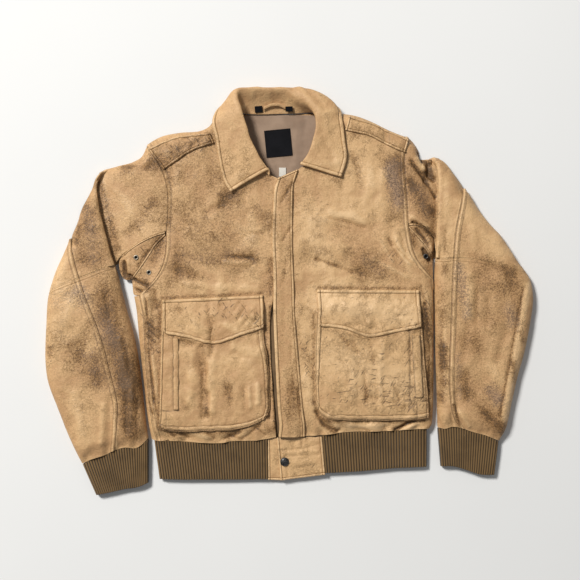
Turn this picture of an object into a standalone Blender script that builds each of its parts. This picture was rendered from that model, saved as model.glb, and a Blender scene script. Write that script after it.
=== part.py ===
"""A worn leather flight jacket laid flat on its back, every cut piece a wall of cloth of its own.

Plan tables are in millimetres, seen from above: -X is the left of the picture, +Y is the collar.
Heights are those of the middle of each wall. Left and right are as seen from above.
"""

import math
from collections import namedtuple

import bmesh
import bpy
import numpy as np

MM = 0.001

# Walls, and what keeps them apart
LEATHER = 1.4
DOUBLE = 2.0
COLLAR = 2.2
KNIT = 2.6
LINING = 1.0
SEAM_GAP = 0.3
LAY_GAP = 0.5
# Each piece's edge stands back from the seam line by this much
EDGE_DRAW = 0.22

# Heights of the laid cloth
FLOOR_Z = LEATHER / 2
FOLD_Z = 9.0
BODY_Z = 22.5
SLEEVE_Z = 26.0
HEM_Z = 16.8
KNIT_TOP_Z = 13.4
KNIT_MOUTH_Z = 10.6
KNIT_FOLD_Z = 6.2
ROLL_REACH = 22.0

RIDGE_Z = 20.0
# Plan curves: each is a smooth line through its points, from the hem or the armhole outward
CURVES = {
    # the body
    "centre_left": (
        (-24, -272), (-26, -235), (-31, -165), (-35, -95), (-34, -45), (-27, 0), (-20, 50), (-18, 120),
        (-20, 212),
    ),
    "neck_left": ((-20, 212), (-38, 221), (-62, 243), (-79, 278), (-88, 306), (-93, 325), (-97, 337)),
    "hem_left": (
        (-24, -272), (-64, -278), (-105, -279), (-133, -283), (-182, -281), (-215, -279), (-247, -279),
    ),
    "side_seam_left": (
        (-247, -279), (-254, -251), (-261, -206), (-266, -150), (-269, -101), (-271, -50), (-279, -6),
    ),
    "armhole_low_left": ((-279, -6), (-256, 17), (-238, 45), (-230, 75), (-229, 114)),
    "armhole_top_left": (
        (-229, 114), (-226, 161), (-227, 190), (-233, 214), (-242, 237), (-256, 258), (-268, 274),
    ),
    "shoulder_left": (
        (-97, 337), (-118, 335), (-137, 327), (-152, 310), (-172, 302), (-203, 300), (-235, 294),
        (-257, 284), (-268, 274),
    ),
    "armpit_left": ((-279, -6), (-290, -8)),
    "side_fold_left": ((-257, -276), (-264, -239), (-271, -178), (-280, -96), (-285, -40), (-290, -8)),
    "strip_hem_left": ((-247, -279), (-257, -276)),
    "centre_right": (
        (20, -270), (18, -235), (12, -180), (3, -60), (0, 7), (-3, 90), (-2, 170), (6, 208), (18, 230),
    ),
    "neck_right": ((18, 230), (33, 240), (46, 257), (56, 284), (60, 311), (58, 328), (54, 339)),
    "hem_right": ((20, -270), (61, -268), (112, -262), (166, -261), (235, -257), (263, -256)),
    "side_fold_right": (
        (263, -256), (268, -245), (270, -215), (271, -170), (271, -100), (271, -30), (270, 24),
    ),
    "armhole_low_right": ((270, 24), (247, 50), (233, 74), (225, 112), (223, 128)),
    "armhole_top_right": ((223, 128), (221, 165), (218, 205), (216, 235), (217, 262), (226, 290)),
    "shoulder_right": (
        (54, 339), (78, 339), (98, 336), (127, 331), (156, 320), (182, 307), (208, 296), (226, 290),
    ),
    "neck_back": ((-97, 337), (-60, 334), (-20, 334), (20, 336), (54, 339)),
    "hem_back": ((-257, -276), (-133, -281), (0, -275), (112, -266), (235, -258), (263, -256)),
    # the left sleeve
    "cap_fold_left": ((-268, 274), (-277, 256), (-291, 246), (-318, 238), (-346, 231)),
    "top_fold_left": (
        (-409, 103), (-397, 135), (-389, 159), (-376, 181), (-366, 204), (-360, 222), (-346, 231),
    ),
    "outer_fold_left": ((-449, 3), (-438, 37), (-421, 75), (-409, 103)),
    "lower_fold_left": (
        (-388, -322), (-412, -272), (-429, -229), (-447, -183), (-454, -157), (-457, -117),
        (-455, -59), (-453, -21), (-449, 3),
    ),
    "ridge_left": ((-326, 50), (-335, 79), (-345, 117), (-355, 159), (-359, 203), (-346, 231)),
    "inner_fold_left": (
        (-265, -275), (-269, -247), (-273, -209), (-277, -172), (-283, -126), (-291, -84), (-305, -34),
        (-317, 15), (-326, 50),
    ),
    "long_seam_top_left": ((-391, 27), (-400, 58), (-409, 103)),
    "long_seam_low_left": (
        (-326, -296), (-321, -254), (-319, -216), (-324, -184), (-334, -147), (-344, -106),
        (-357, -66), (-378, -13), (-391, 27),
    ),
    "elbow_inner_left": ((-326, 50), (-345, 45), (-368, 36), (-391, 27)),
    "elbow_outer_left": ((-391, 27), (-420, 16), (-449, 3)),
    "cuff_inner_left": ((-265, -275), (-277, -287), (-290, -293), (-306, -291), (-326, -296)),
    "cuff_outer_left": ((-326, -296), (-344, -305), (-369, -313), (-388, -322)),
    "gusset_edge_left": ((-229, 114), (-265, 101), (-297, 81), (-316, 66)),
    "gusset_seam_left": ((-229.4, 108), (-252, 84), (-270, 55), (-285, 36), (-294, 24)),
    "gusset_lip_left": ((-316, 66), (-319, 52), (-317, 38), (-312, 27), (-303, 22), (-294, 24)),
    "gusset_side_left": ((-294, 24), (-293, 6), (-290, -8)),
    # the right sleeve
    "cap_fold_right": ((226, 290), (238, 276), (244, 262), (247, 250), (258, 249), (273, 254)),
    "top_fold_right": ((327, 198), (310, 223), (296, 241), (284, 251), (273, 254)),
    "outer_fold_right": (
        (441, 42), (429, 57), (414, 81), (397, 106), (379, 125), (358, 152), (341, 179), (327, 198),
    ),
    "lower_fold_right": (
        (394, -279), (408, -252), (420, -197), (430, -154), (440, -119), (448, -84), (457, -30),
        (458, -5), (453, 22), (441, 42),
    ),
    "ridge_right": ((275, 64), (276, 93), (277, 131), (279, 179), (279, 225), (273, 254)),
    "inner_fold_right": (
        (280, -254), (279, -225), (278, -180), (276, -120), (275, -60), (274, 10), (275, 64),
    ),
    "long_seam_top_right": ((307, 65), (311, 112), (318, 150), (327, 198)),
    "long_seam_low_right": (
        (322, -254), (309, -236), (302, -210), (299, -165), (300, -115), (302, -60), (304, 4),
        (307, 65),
    ),
    "elbow_inner_right": ((275, 64), (291, 63), (307, 65)),
    "elbow_outer_right": ((307, 65), (353, 61), (397, 52), (441, 42)),
    "cuff_inner_right": ((280, -254), (293, -256), (307, -252), (322, -254)),
    "cuff_outer_right": ((322, -254), (348, -263), (370, -269), (394, -279)),
    "gusset_edge_right": ((223, 128), (244, 127), (261, 117), (272, 104)),
    "gusset_seam_right": ((223.7, 121), (242, 102), (258, 83), (268, 68)),
    "gusset_close_right": ((275, 64), (270, 48), (270, 24)),
    "gusset_lip_right": ((272, 104), (273, 88), (271, 76), (268, 68)),
    "gusset_side_right": ((268, 68), (270, 46), (270, 24)),
}


def smooth(points, steps=16):
    """A fine smooth line through the points, with so many steps from each to the next."""
    points = np.array(points, float)
    ends = np.vstack([2 * points[0] - points[1], points, 2 * points[-1] - points[-2]])
    line = [points[0]]
    for a, b, c, d in zip(ends, ends[1:], ends[2:], ends[3:]):
        for t in np.linspace(0, 1, steps + 1)[1:]:
            quadratic = 2 * a - 5 * b + 4 * c - d
            cubic = 3 * b - a - 3 * c + d
            line.append(0.5 * (2 * b + (c - a) * t + quadratic * t**2 + cubic * t**3))
    return np.array(line)


def placed(line, shares):
    """Places at the given shares of a line's length, or at that many even steps."""
    shares = np.linspace(0, 1, shares + 1) if np.isscalar(shares) else np.array(shares)
    along = length_shares(line)
    return np.stack([np.interp(shares, along, line[:, k]) for k in range(line.shape[1])], axis=1)


def length_shares(line):
    along = np.concatenate([[0], np.cumsum(np.linalg.norm(np.diff(line, axis=0), axis=1))])
    return along / along[-1]


def curve(name, shares):
    return placed(smooth(CURVES[name]), shares)


def chain(*lines):
    """Lines joined end to end, each shared point once."""
    return np.vstack([lines[0]] + [line[1:] for line in lines[1:]])


def back(line):
    return line[::-1]


def straight(start, end, shares):
    return placed(np.array((start, end), float), shares)


def distance(points, line):
    """How far each plan point lies from the line."""
    points = np.asarray(points, float)
    flat = points.reshape(-1, 2)
    start, step = line[:-1], np.diff(line, axis=0)
    share = ((flat[:, None] - start) * step).sum(2) / (step * step).sum(1)
    foot = start + np.clip(share, 0, 1)[..., None] * step
    return np.linalg.norm(flat[:, None] - foot, axis=2).min(1).reshape(points.shape[:-1])


def away(points, *names):
    """How far each plan point lies from the nearest of the named curves."""
    return np.min([distance(points, FINE[name]) for name in names], axis=0)

FINE = {name: smooth(points, 8) for name, points in CURVES.items()}


def rise(distance, reach):
    """A quarter of an ellipse: 0 on a folded edge, 1 from the reach inward."""
    share = np.clip(distance / reach, 0, 1)
    return np.sqrt(1 - (1 - share) ** 2)


def ease(share):
    share = np.clip(share, 0, 1)
    return share * share * (3 - 2 * share)


# The largest soft folds of the cloth: a trough (or ridge, where it is high) along a line
Fold = namedtuple("Fold", "start end width height")
BODY_FOLDS = (
    Fold((-66, 112), (-120, 70), 12, -1.6),
    Fold((-252, -66), (-258, -200), 9, 1.2),
    Fold((66, 128), (150, 116), 14, -1.6),
    Fold((48, 60), (130, 34), 14, -1.6),
    Fold((60, 96), (130, 78), 14, 1.4),
    Fold((28, -90), (40, -190), 7, 1.4),
    Fold((58, -236), (102, -256), 9, -1.6),
    Fold((-160, -262), (-120, -268), 8, 1.5),
)
SLEEVE_FOLDS = (
    Fold((-333, -200), (-334, -296), 8, -3.0),
    Fold((-425, -60), (-420, -220), 18, 1.5),
    Fold((313, -190), (316, -252), 7, -3.0),
    Fold((355, 30), (352, -60), 12, -1.6),
    Fold((389, 22), (386, -110), 14, 1.8),
    Fold((300, 150), (298, 90), 9, -1.4),
)


def folded(points, folds):
    """The height that the soft folds add at each plan point."""
    total = np.zeros(points.shape[:-1])
    for fold in folds:
        start = np.array(fold.start, float)
        step = np.array(fold.end, float) - start
        share = ((points - start) * step).sum(-1) / (step @ step)
        across = np.linalg.norm(points - start - np.clip(share, 0, 1)[..., None] * step, axis=-1)
        total += fold.height * np.exp(-((across / fold.width) ** 2))
    return total


# Folded edges that reach right down to the floor sheet, and those that curl under it
PRESSED_Z = 1.9
BODY_PRESSED = ("shoulder_left", "shoulder_right")
BODY_CURLED = ("side_fold_left", "side_fold_right")


def domed(points, crown, pressed, curled, reach):
    """Crown height inward of the folded edges, rounding down to each."""
    near_pressed = away(points, *pressed)
    near_curled = away(points, *curled)
    weight = 1 / (near_pressed + 1) ** 2
    other = 1 / (near_curled + 1) ** 2
    base = (PRESSED_Z * weight + FOLD_Z * other) / (weight + other)
    return base + (crown - base) * rise(near_pressed, reach) * rise(near_curled, reach)


def body_top(points):
    points = np.asarray(points, float)
    crown = BODY_Z + folded(points, BODY_FOLDS)
    crown = crown - 2.5 * np.exp(-((away(points, "armhole_top_left", "armhole_low_left") / 9) ** 2))
    crown = crown - 2.5 * np.exp(-((away(points, "armhole_top_right", "armhole_low_right") / 9) ** 2))
    from_hem = away(points, "hem_left", "hem_right", "strip_hem_left")
    crown = HEM_Z + (crown - HEM_Z) * ease(from_hem / 32)
    return domed(points, crown, BODY_PRESSED, BODY_CURLED, ROLL_REACH)


def sleeve_top(points, side):
    """The sleeve's upper face outward of its ridge."""
    points = np.asarray(points, float)
    crown = SLEEVE_Z + folded(points, SLEEVE_FOLDS)
    from_cuff = away(points, "cuff_inner_" + side, "cuff_outer_" + side)
    crown = HEM_Z + (crown - HEM_Z) * ease(from_cuff / 34)
    curled = ("outer_fold_" + side, "lower_fold_" + side, "inner_fold_" + side)
    return domed(points, crown, ("cap_fold_" + side, "top_fold_" + side), curled, ROLL_REACH)


def coons(west, east, south, north):
    """Rows from south to north and columns from west to east between four edges that meet."""
    rows, columns = len(west), len(south)
    along = (length_shares(west) + length_shares(east)) / 2
    across = (length_shares(south) + length_shares(north)) / 2
    t, s = along[:, None, None], across[None, :, None]
    corners = (
        (1 - s) * (1 - t) * (west[0] + south[0]) / 2
        + s * (1 - t) * (east[0] + south[-1]) / 2
        + (1 - s) * t * (west[-1] + north[0]) / 2
        + s * t * (east[-1] + north[-1]) / 2
    )
    net = (1 - s) * west[:, None] + s * east[:, None] + (1 - t) * south[None] + t * north[None] - corners
    assert net.shape[:2] == (rows, columns)
    return net


def lifted(net, heights):
    return np.dstack([net, heights])


def inset(net, west=EDGE_DRAW, east=EDGE_DRAW, south=EDGE_DRAW, north=EDGE_DRAW):
    """Draws each edge of a net back from the seam that it shares."""
    net = net.copy()
    for edge, inner, gap in (
        (np.s_[:, 0], np.s_[:, 1], west),
        (np.s_[:, -1], np.s_[:, -2], east),
        (np.s_[0], np.s_[1], south),
        (np.s_[-1], np.s_[-2], north),
    ):
        inward = net[inner] - net[edge]
        net[edge] += inward * (gap / np.maximum(np.linalg.norm(inward, axis=1), 1e-6))[:, None]
    return net


# How a curled edge goes under: share of the fold's height, and how far inward
CURL = ((0.62, 0.7), (0.22, 2.6), (0.0, 6.0))
UNDER_REACH = CURL[-1][1]
UNDER_INSET = 9.0


def curled(net, edge, amount=None):
    """Adds the columns that take a folded edge round and under, to lie on the floor."""
    outer, inner = (net[:, 0], net[:, 1]) if edge == "west" else (net[:, -1], net[:, -2])
    amount = np.ones(len(outer)) if amount is None else amount
    inward = (inner - outer)[:, :2]
    inward /= np.linalg.norm(inward, axis=1)[:, None]
    columns = []
    for height, reach in CURL:
        low = FLOOR_Z + (outer[:, 2] - FLOOR_Z) * height
        seam = outer[:, 2] - 1.5 * (1 - height)
        column = np.empty_like(outer)
        column[:, :2] = outer[:, :2] + inward * (reach * amount)[:, None]
        column[:, 2] = low * amount + seam * (1 - amount)
        columns.append(column)
    stack = np.stack(columns, axis=1)
    return np.hstack([stack[:, ::-1], net]) if edge == "west" else np.hstack([net, stack])


def on(surface, net, lift):
    """The net laid on a surface, moved out along its slope by the lift."""
    step = 0.5
    along_x = (surface(net + (step, 0)) - surface(net - (step, 0))) / (2 * step)
    along_y = (surface(net + (0, step)) - surface(net - (0, step))) / (2 * step)
    slope = np.dstack([-along_x, -along_y, np.ones_like(along_x)])
    slope /= np.linalg.norm(slope, axis=2)[..., None]
    return lifted(net, surface(net)) + slope * (lift if np.isscalar(lift) else lift[..., None])


def finish(name):
    """Colour, roughness and metallic value of a finish, as a material shared by its pieces."""
    if name in bpy.data.materials:
        return bpy.data.materials[name]
    colour, roughness, metallic = FINISHES[name]
    material = bpy.data.materials.new(name)
    material.use_nodes = True
    shader = material.node_tree.nodes["Principled BSDF"]
    shader.inputs["Base Color"].default_value = (*colour, 1)
    shader.inputs["Roughness"].default_value = roughness
    shader.inputs["Metallic"].default_value = metallic
    return material

FINISHES = {
    "worn_leather": ((0.52, 0.30, 0.13), 0.6, 0.0),
    "rib_knit": ((0.13, 0.08, 0.035), 0.9, 0.0),
    "lining_cloth": ((0.28, 0.19, 0.12), 0.6, 0.0),
    "label_cloth": ((0.01, 0.01, 0.01), 0.7, 0.0),
    "tag_cloth": ((0.7, 0.68, 0.62), 0.8, 0.0),
    "dark_metal": ((0.12, 0.11, 0.10), 0.4, 0.9),
    "zip_tape": ((0.05, 0.035, 0.02), 0.8, 0.0),
}


def made(name, mesh, finish_name):
    item = bpy.data.objects.new(name, mesh)
    bpy.context.scene.collection.objects.link(item)
    item.data.materials.append(finish(finish_name))
    item.data.shade_smooth()
    item.data.set_sharp_from_angle(angle=math.radians(40))
    return item


def thicken(item, thickness):
    wall = item.modifiers.new("wall", "SOLIDIFY")
    wall.thickness = thickness * MM
    wall.offset = 0
    return item


def cloth(name, net, thickness=LEATHER, finish_name="worn_leather", ring=False):
    """A named wall of cloth over a net of places, closed round where it is a ring."""
    rows, columns = net.shape[:2]
    bm = bmesh.new()
    bmesh.ops.create_grid(bm, x_segments=columns - 1, y_segments=rows - 1, size=1)
    for vertex in bm.verts:
        column = round((vertex.co.x + 1) / 2 * (columns - 1))
        row = round((vertex.co.y + 1) / 2 * (rows - 1))
        vertex.co = net[row, column] * MM
    if ring:
        bmesh.ops.remove_doubles(bm, verts=bm.verts, dist=0.00001)
        bmesh.ops.recalc_face_normals(bm, faces=bm.faces)
    mesh = bpy.data.meshes.new(name)
    bm.to_mesh(mesh)
    bm.free()
    return thicken(made(name, mesh, finish_name), thickness)


def inside(points, outline):
    """Which plan points lie inside the closed outline."""
    x, y = points[:, :1], points[:, 1:]
    (x1, y1), (x2, y2) = outline.T, np.roll(outline, -1, axis=0).T
    with np.errstate(divide="ignore", invalid="ignore"):
        crossed = ((y1 > y) != (y2 > y)) & (x < x1 + (y - y1) * (x2 - x1) / (y2 - y1))
    return crossed.sum(1) % 2 == 1


def drawn_in(stretches):
    """The outline made by stretches of line, each drawn in by its own gap and cut off at the next ones."""
    raw = np.vstack([line[:-1] for line, _ in stretches])
    turn = np.sign(np.sum(raw[:, 0] * np.roll(raw[:, 1], -1) - np.roll(raw[:, 0], -1) * raw[:, 1]))
    outline = []
    for line, gap in stretches:
        if gap is None:
            outline.append(line)
            continue
        moved = beside(line, gap * turn)
        moved = moved[inside(moved, raw)]
        for other, clear in stretches:
            if other is not line:
                moved = moved[distance(moved, other) > 0.97 * (clear or UNDER_REACH)]
        outline.append(moved)
    outline = np.vstack(outline)
    apart = np.linalg.norm(outline - np.roll(outline, 1, axis=0), axis=1) > 0.5
    return outline[apart]


def floor_sheet(name, *stretches, nets=()):
    """A flat sheet on the floor inside its outline, one piece with the nets that share its edge."""
    bm = bmesh.new()
    bm.faces.new([bm.verts.new((x * MM, y * MM, FLOOR_Z * MM)) for x, y in drawn_in(stretches)])
    bm.normal_update()
    bmesh.ops.triangulate(bm, faces=bm.faces)
    for net in nets:
        grid = [[bm.verts.new(place * MM) for place in row] for row in net]
        for low, high in zip(grid, grid[1:]):
            for a, b, c, d in zip(low, low[1:], high[1:], high):
                bm.faces.new((a, b, c, d))
    bmesh.ops.remove_doubles(bm, verts=bm.verts, dist=0.00002)
    bmesh.ops.recalc_face_normals(bm, faces=bm.faces)
    mesh = bpy.data.meshes.new(name)
    bm.to_mesh(mesh)
    bm.free()
    return thicken(made(name, mesh, "worn_leather"), LEATHER)


def beside(line, distance):
    """The line moved sideways, to the left of the way it runs."""
    step = np.gradient(line, axis=0)
    step /= np.linalg.norm(step, axis=1)[:, None]
    return line + np.stack([-step[:, 1], step[:, 0]], axis=1) * distance


# Shares of a panel's width at which its columns stand, closer towards a folded edge
TO_FOLD = (0, 0.22, 0.44, 0.64, 0.8, 0.9, 0.97, 1)
OUTLINE = (0, 0.03, 0.1, 0.3, 0.5, 0.7, 0.9, 0.97, 1)
CAP_ROWS = (0, 0.17, 0.34, 0.51, 0.67, 0.8, 0.89, 0.96, 1)


def level_with(guide, line):
    """Places on the line as high up it, end to end, as the guide's are up the guide."""
    low, high = guide[0][1], guide[-1][1]
    shares = np.maximum.accumulate((guide[:, 1] - low) / (high - low))
    shares = shares * 0.5 + length_shares(guide) * 0.5
    return placed(line, shares)


# ---- the body ----

# How far the left front's edge turns down beside the storm flap
CENTRE_TURN = 1.2
ACROSS = (0, 0.12, 0.29, 0.46, 0.63, 0.8, 0.92, 1)
SIDE_ROWS = 9


def build_back():
    """The back on the floor, with its sides rolled up: on the left as far as a seam on the front's face."""
    seam, fold = curve("side_seam_left", SIDE_ROWS), curve("side_fold_left", SIDE_ROWS)
    net = coons(fold, seam, back(curve("strip_hem_left", 3)), back(curve("armpit_left", 3)))
    net = lifted(net, body_top(net))
    net[:, 0, 2] = FOLD_Z
    west = curled(inset(net, west=0), "west")
    fold = curve("side_fold_right", SIDE_ROWS)
    edge_z = FOLD_Z - SEAM_GAP - EDGE_DRAW
    net = lifted(np.stack([fold - (1, 0), fold], axis=1), np.full((len(fold), 2), edge_z))
    east = curled(inset(net, west=0, east=0), "east")[:, 1:]
    floor_sheet(
        "back",
        (curve("hem_back", OUTLINE), SEAM_GAP),
        (east[:, -1, :2], None),
        (curve("armhole_low_right", OUTLINE), SEAM_GAP),
        (curve("armhole_top_right", OUTLINE), SEAM_GAP),
        (back(curve("shoulder_right", OUTLINE)), SEAM_GAP),
        (back(curve("neck_back", OUTLINE)), SEAM_GAP),
        (curve("shoulder_left", OUTLINE), SEAM_GAP),
        (back(curve("armhole_top_left", OUTLINE)), SEAM_GAP),
        (back(curve("armhole_low_left", OUTLINE)), SEAM_GAP),
        (back(west[:, 0, :2]), None),
        nets=(west, east),
    )


def side_edge(side):
    """A front's outer edge from the hem to the shoulder, at the places that its neighbours share."""
    seam = "side_seam_left" if side == "left" else "side_fold_right"
    low = curve("armhole_low_" + side, 5)
    return chain(curve(seam, SIDE_ROWS), low, curve("armhole_top_" + side, CAP_ROWS))


def build_front_left():
    outer = side_edge("left")
    inner = level_with(outer, chain(smooth(CURVES["centre_left"]), smooth(CURVES["neck_left"])))
    net = coons(inner, outer, curve("hem_left", ACROSS), curve("shoulder_left", ACROSS))
    net = lifted(net, body_top(net))
    net[-1, :, 2] = PRESSED_Z
    net[:, 0, 2] -= CENTRE_TURN * ease((60 - net[:, 0, 1]) / 60)
    cloth("front_left", inset(net))


def build_front_right():
    outer = side_edge("right")
    inner = level_with(outer, chain(smooth(CURVES["centre_right"]), smooth(CURVES["neck_right"])))
    net = coons(inner, outer, curve("hem_right", TO_FOLD), curve("shoulder_right", TO_FOLD))
    net = lifted(net, body_top(net))
    net[-1, :, 2] = PRESSED_Z
    net[: SIDE_ROWS + 1, -1, 2] = FOLD_Z
    cloth("front_right", inset(net))


# ---- the sleeves ----

# The pleat beside each armhole, column by column from the cap's end: how far outward of the ridge's line
# it stands at the shoulder, how much further where the pleat is deep, and its height.
Pleat = namedtuple("Pleat", "start deeper height")
PLEAT = (
    Pleat(-9.0, 16.0, 11.4),
    Pleat(-7.5, 19.5, 12.4),
    Pleat(-6.0, 18.5, 15.4),
    Pleat(-4.0, 9.0, 16.8),
    Pleat(-2.0, 2.2, 18.6),
    Pleat(0.0, 0.0, 21.5),
    Pleat(4.0, 0.0, 24.8),
)
CAP_END = -12.0
TOP_START = 11.0
PLEAT_DEEP_AFTER = 50.0
# Where the rows of the top stand on the long seam, and on the fold above it
LONG_SEAM = {"left": (0, 0.33, 0.67, 1), "right": (0, 0.2, 0.4, 0.6, 0.8, 1)}
TOP_FOLD = {"left": (0, 0.2, 0.42, 0.62, 0.8, 0.92), "right": (0, 0.35, 0.68, 0.9)}
# Where the cap's columns meet the gusset's edge
GUSSET_SHARES = (0, 0.26, 0.52, 0.78, 1)


def outward(line, side):
    """Unit plan directions away from the body, square to the line."""
    step = np.gradient(line, axis=0)
    square = np.stack([-step[:, 1], step[:, 0]], axis=1)
    square *= np.sign(square[:, :1]) * (-1 if side == "left" else 1)
    return square / np.linalg.norm(square, axis=1)[:, None]


def build_upper_inner(side):
    """Cap from the armhole, pleat under the ridge, then the sleeve's top as far as the long seam."""
    arm = curve("armhole_top_" + side, CAP_ROWS)
    ridge = curve("ridge_" + side, CAP_ROWS)
    seam = curve("long_seam_top_" + side, LONG_SEAM[side])
    outer = chain(seam, curve("top_fold_" + side, TOP_FOLD[side]))
    out = outward(ridge, side)
    deep = ease((1 - length_shares(ridge)) * np.linalg.norm(ridge[0] - ridge[-1]) / PLEAT_DEEP_AFTER)
    near_top = ease((length_shares(ridge) - 0.7) / 0.3)[:, None]
    fold_end = back(FINE["cap_fold_" + side])
    fold_length = np.linalg.norm(np.diff(fold_end, axis=0), axis=1).sum()

    def beside_ridge(offset, deeper=0.0):
        """The ridge moved outward, its top end led along the folded edge."""
        line = ridge + out * (offset + deeper * deep)[:, None]
        on_fold = placed(fold_end, (max(-offset, 0) / fold_length,))[0]
        return line + near_top * (on_fold - line[-1])

    edge = curve("gusset_edge_" + side, GUSSET_SHARES)
    cap_end = beside_ridge(CAP_END)
    cap_end = joined(cap_end, edge[-1], cap_end[-1])
    fold_shares = np.array((0, 0.25, 0.5, 0.75, 1)) * (1 + CAP_END / fold_length)
    cap = coons(arm, cap_end, edge, curve("cap_fold_" + side, tuple(fold_shares)))
    cap_z = cap_height(body_top(arm)[:, None], np.array(GUSSET_SHARES)[None])
    width = np.linalg.norm(outer - ridge, axis=1)[:, None]
    top_in = ridge + (outer - ridge) / width * np.minimum(TOP_START, width * 0.3)
    elbow = curve("elbow_inner_" + side, (0.2, 0.4, 0.6, 0.8, 1))
    top_in = joined(top_in, elbow[0], top_in[-1])
    pleat = [beside_ridge(step.start, step.deeper) for step in PLEAT[:-1]]
    pleat.append(ridge + (top_in - ridge) * PLEAT[-1].start / TOP_START)
    pleat = np.stack(pleat, axis=1)
    pleat_z = np.repeat([[step.height for step in PLEAT]], len(ridge), axis=0)
    top = coons(top_in, outer, elbow, straight(top_in[-1], outer[-1], 4))
    top_z = ridge_rise(sleeve_top(top, side), away(top, "ridge_" + side))
    plan = np.hstack([cap, pleat, top])
    heights = np.hstack([cap_z, pleat_z, top_z])
    inboard = np.s_[:, : cap.shape[1] + len(PLEAT)]
    low = rise(away(plan[inboard], "cap_fold_" + side, "top_fold_" + side), ROLL_REACH)
    heights[inboard] = PRESSED_Z + (heights[inboard] - PRESSED_Z) * low
    heights[-1] = PRESSED_Z
    cloth("sleeve_top_inner_" + side, inset(lifted(plan, heights), south=GUSSET_DRAW))


def cap_height(arm_z, share):
    """The cap's height from the armhole (share 0) down to the foot of the pleat (share 1)."""
    return arm_z * (1 - share) + 12 * share + 4 * np.sin(np.pi * share**0.8)


def ridge_rise(heights, from_ridge):
    return RIDGE_Z + (heights - RIDGE_Z) * rise(from_ridge, 18)


def joined(line, start, end):
    """The line drawn so that it starts and ends at the two places."""
    share = length_shares(line)[:, None]
    return line + (start - line[0]) * (1 - share) + (end - line[-1]) * share


def build_upper_outer(side):
    shares = tuple(share * 0.97 for share in LONG_SEAM[side])
    seam, fold = curve("long_seam_top_" + side, shares), curve("outer_fold_" + side, shares)
    net = coons(seam, fold, curve("elbow_outer_" + side, TO_FOLD), straight(seam[-1], fold[-1], TO_FOLD))
    net = lifted(net, sleeve_top(net, side))
    net[:, -1, 2] = FOLD_Z
    cloth("sleeve_top_outer_" + side, curled(inset(net, east=0, west=0.4, north=1.6), "east"))


def build_lower_inner(side):
    fold = curve("inner_fold_" + side, SLEEVE_ROWS)
    seam = curve("long_seam_low_" + side, SLEEVE_ROWS)
    cuff = placed(smooth(CURVES["cuff_inner_" + side]), INNER_COLUMNS)
    net = coons(fold, seam, cuff, curve("elbow_inner_" + side, INNER_COLUMNS))
    net = lifted(net, sleeve_top(net, side))
    net[:, 0, 2] = FOLD_Z
    cloth("sleeve_low_inner_" + side, curled(inset(net, west=0), "west"))

SLEEVE_ROWS = 11
INNER_COLUMNS = (0, 0.06, 0.2, 0.45, 0.72, 1)


def build_lower_outer(side):
    seam = curve("long_seam_low_" + side, SLEEVE_ROWS)
    fold = curve("lower_fold_" + side, SLEEVE_ROWS)
    net = coons(seam, fold, curve("cuff_outer_" + side, TO_FOLD), curve("elbow_outer_" + side, TO_FOLD))
    net = lifted(net, sleeve_top(net, side))
    net[:, -1, 2] = FOLD_Z
    cloth("sleeve_low_outer_" + side, curled(inset(net, east=0), "east"))


# What closes the under sleeve between its elbow and its armhole: curves, and how far each is drawn in
UNDERARM = {
    "left": (("gusset_lip_left", UNDER_INSET), ("gusset_side_left", 12.0)),
    "right": (("gusset_close_right", 2.0),),
}
CUFF_DRAW = 1.6


def build_under_sleeve(side):
    """The two sheets of the under sleeve, which meet at the elbow."""
    def line(name):
        return curve(name + "_" + side, OUTLINE)

    floor_sheet(
        "sleeve_under_top_" + side,
        (line("armhole_low"), SEAM_GAP),
        (line("armhole_top"), SEAM_GAP),
        (line("cap_fold"), SEAM_GAP),
        (back(line("top_fold")), UNDER_INSET),
        (back(line("outer_fold")), UNDER_INSET),
        (back(line("elbow_outer")), SEAM_GAP),
        (back(line("elbow_inner")), SEAM_GAP),
        *((curve(name, OUTLINE), gap) for name, gap in UNDERARM[side]),
    )
    floor_sheet(
        "sleeve_under_low_" + side,
        (back(line("lower_fold")), UNDER_INSET),
        (back(line("cuff_outer")), CUFF_DRAW),
        (back(line("cuff_inner")), CUFF_DRAW),
        (line("inner_fold"), UNDER_INSET),
        (line("elbow_inner"), SEAM_GAP),
        (line("elbow_outer"), SEAM_GAP),
    )

GUSSET_SEAM_Z = 15.5
ARMHOLE_Z = 19.5
GUSSET_CLIMB = 3
GUSSET_TIP = 0.9
INNER_TIP = 0.68
GUSSET_DRAW = 0.4


def gusset_rows(name):
    """Places up a gusset's long edge, level with the cap's columns and stopping short of the tip."""
    shares = np.array([1 - share for share in GUSSET_SHARES[::-1]])
    shares = np.insert(shares, 1, shares[1] / 2)
    places = placed(back(curve(name, GUSSET_SHARES)), shares)
    return shortened(places), shares[:, None]


def shortened(line):
    """The line with its last step cut short, at the narrow tip of a gusset."""
    line[-1] = line[-2] + (line[-1] - line[-2]) * GUSSET_TIP
    return line


def gusset_rise(along, low):
    """Heights that round down to the fold over the first third of the rows."""
    return FOLD_Z + (low - FOLD_Z) * rise(along, 0.3)


def build_gusset_outer(side):
    """The underarm piece between the cap and the gusset's own seam."""
    edge, along = gusset_rows("gusset_edge_" + side)
    seam, _ = gusset_rows("gusset_seam_" + side)
    net = coons(edge, seam, curve("gusset_lip_" + side, 4), straight(edge[-1], seam[-1], 4))
    share = np.linspace(0, 1, net.shape[1])[None]
    edge_z = cap_height(ARMHOLE_Z, 1 - along)
    heights = edge_z * (1 - share) + (GUSSET_SEAM_Z + GUSSET_CLIMB * along) * share
    net = lifted(net, gusset_rise(along, heights))
    cloth("gusset_outer_" + side, inset(net, west=GUSSET_DRAW, south=0))


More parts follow.
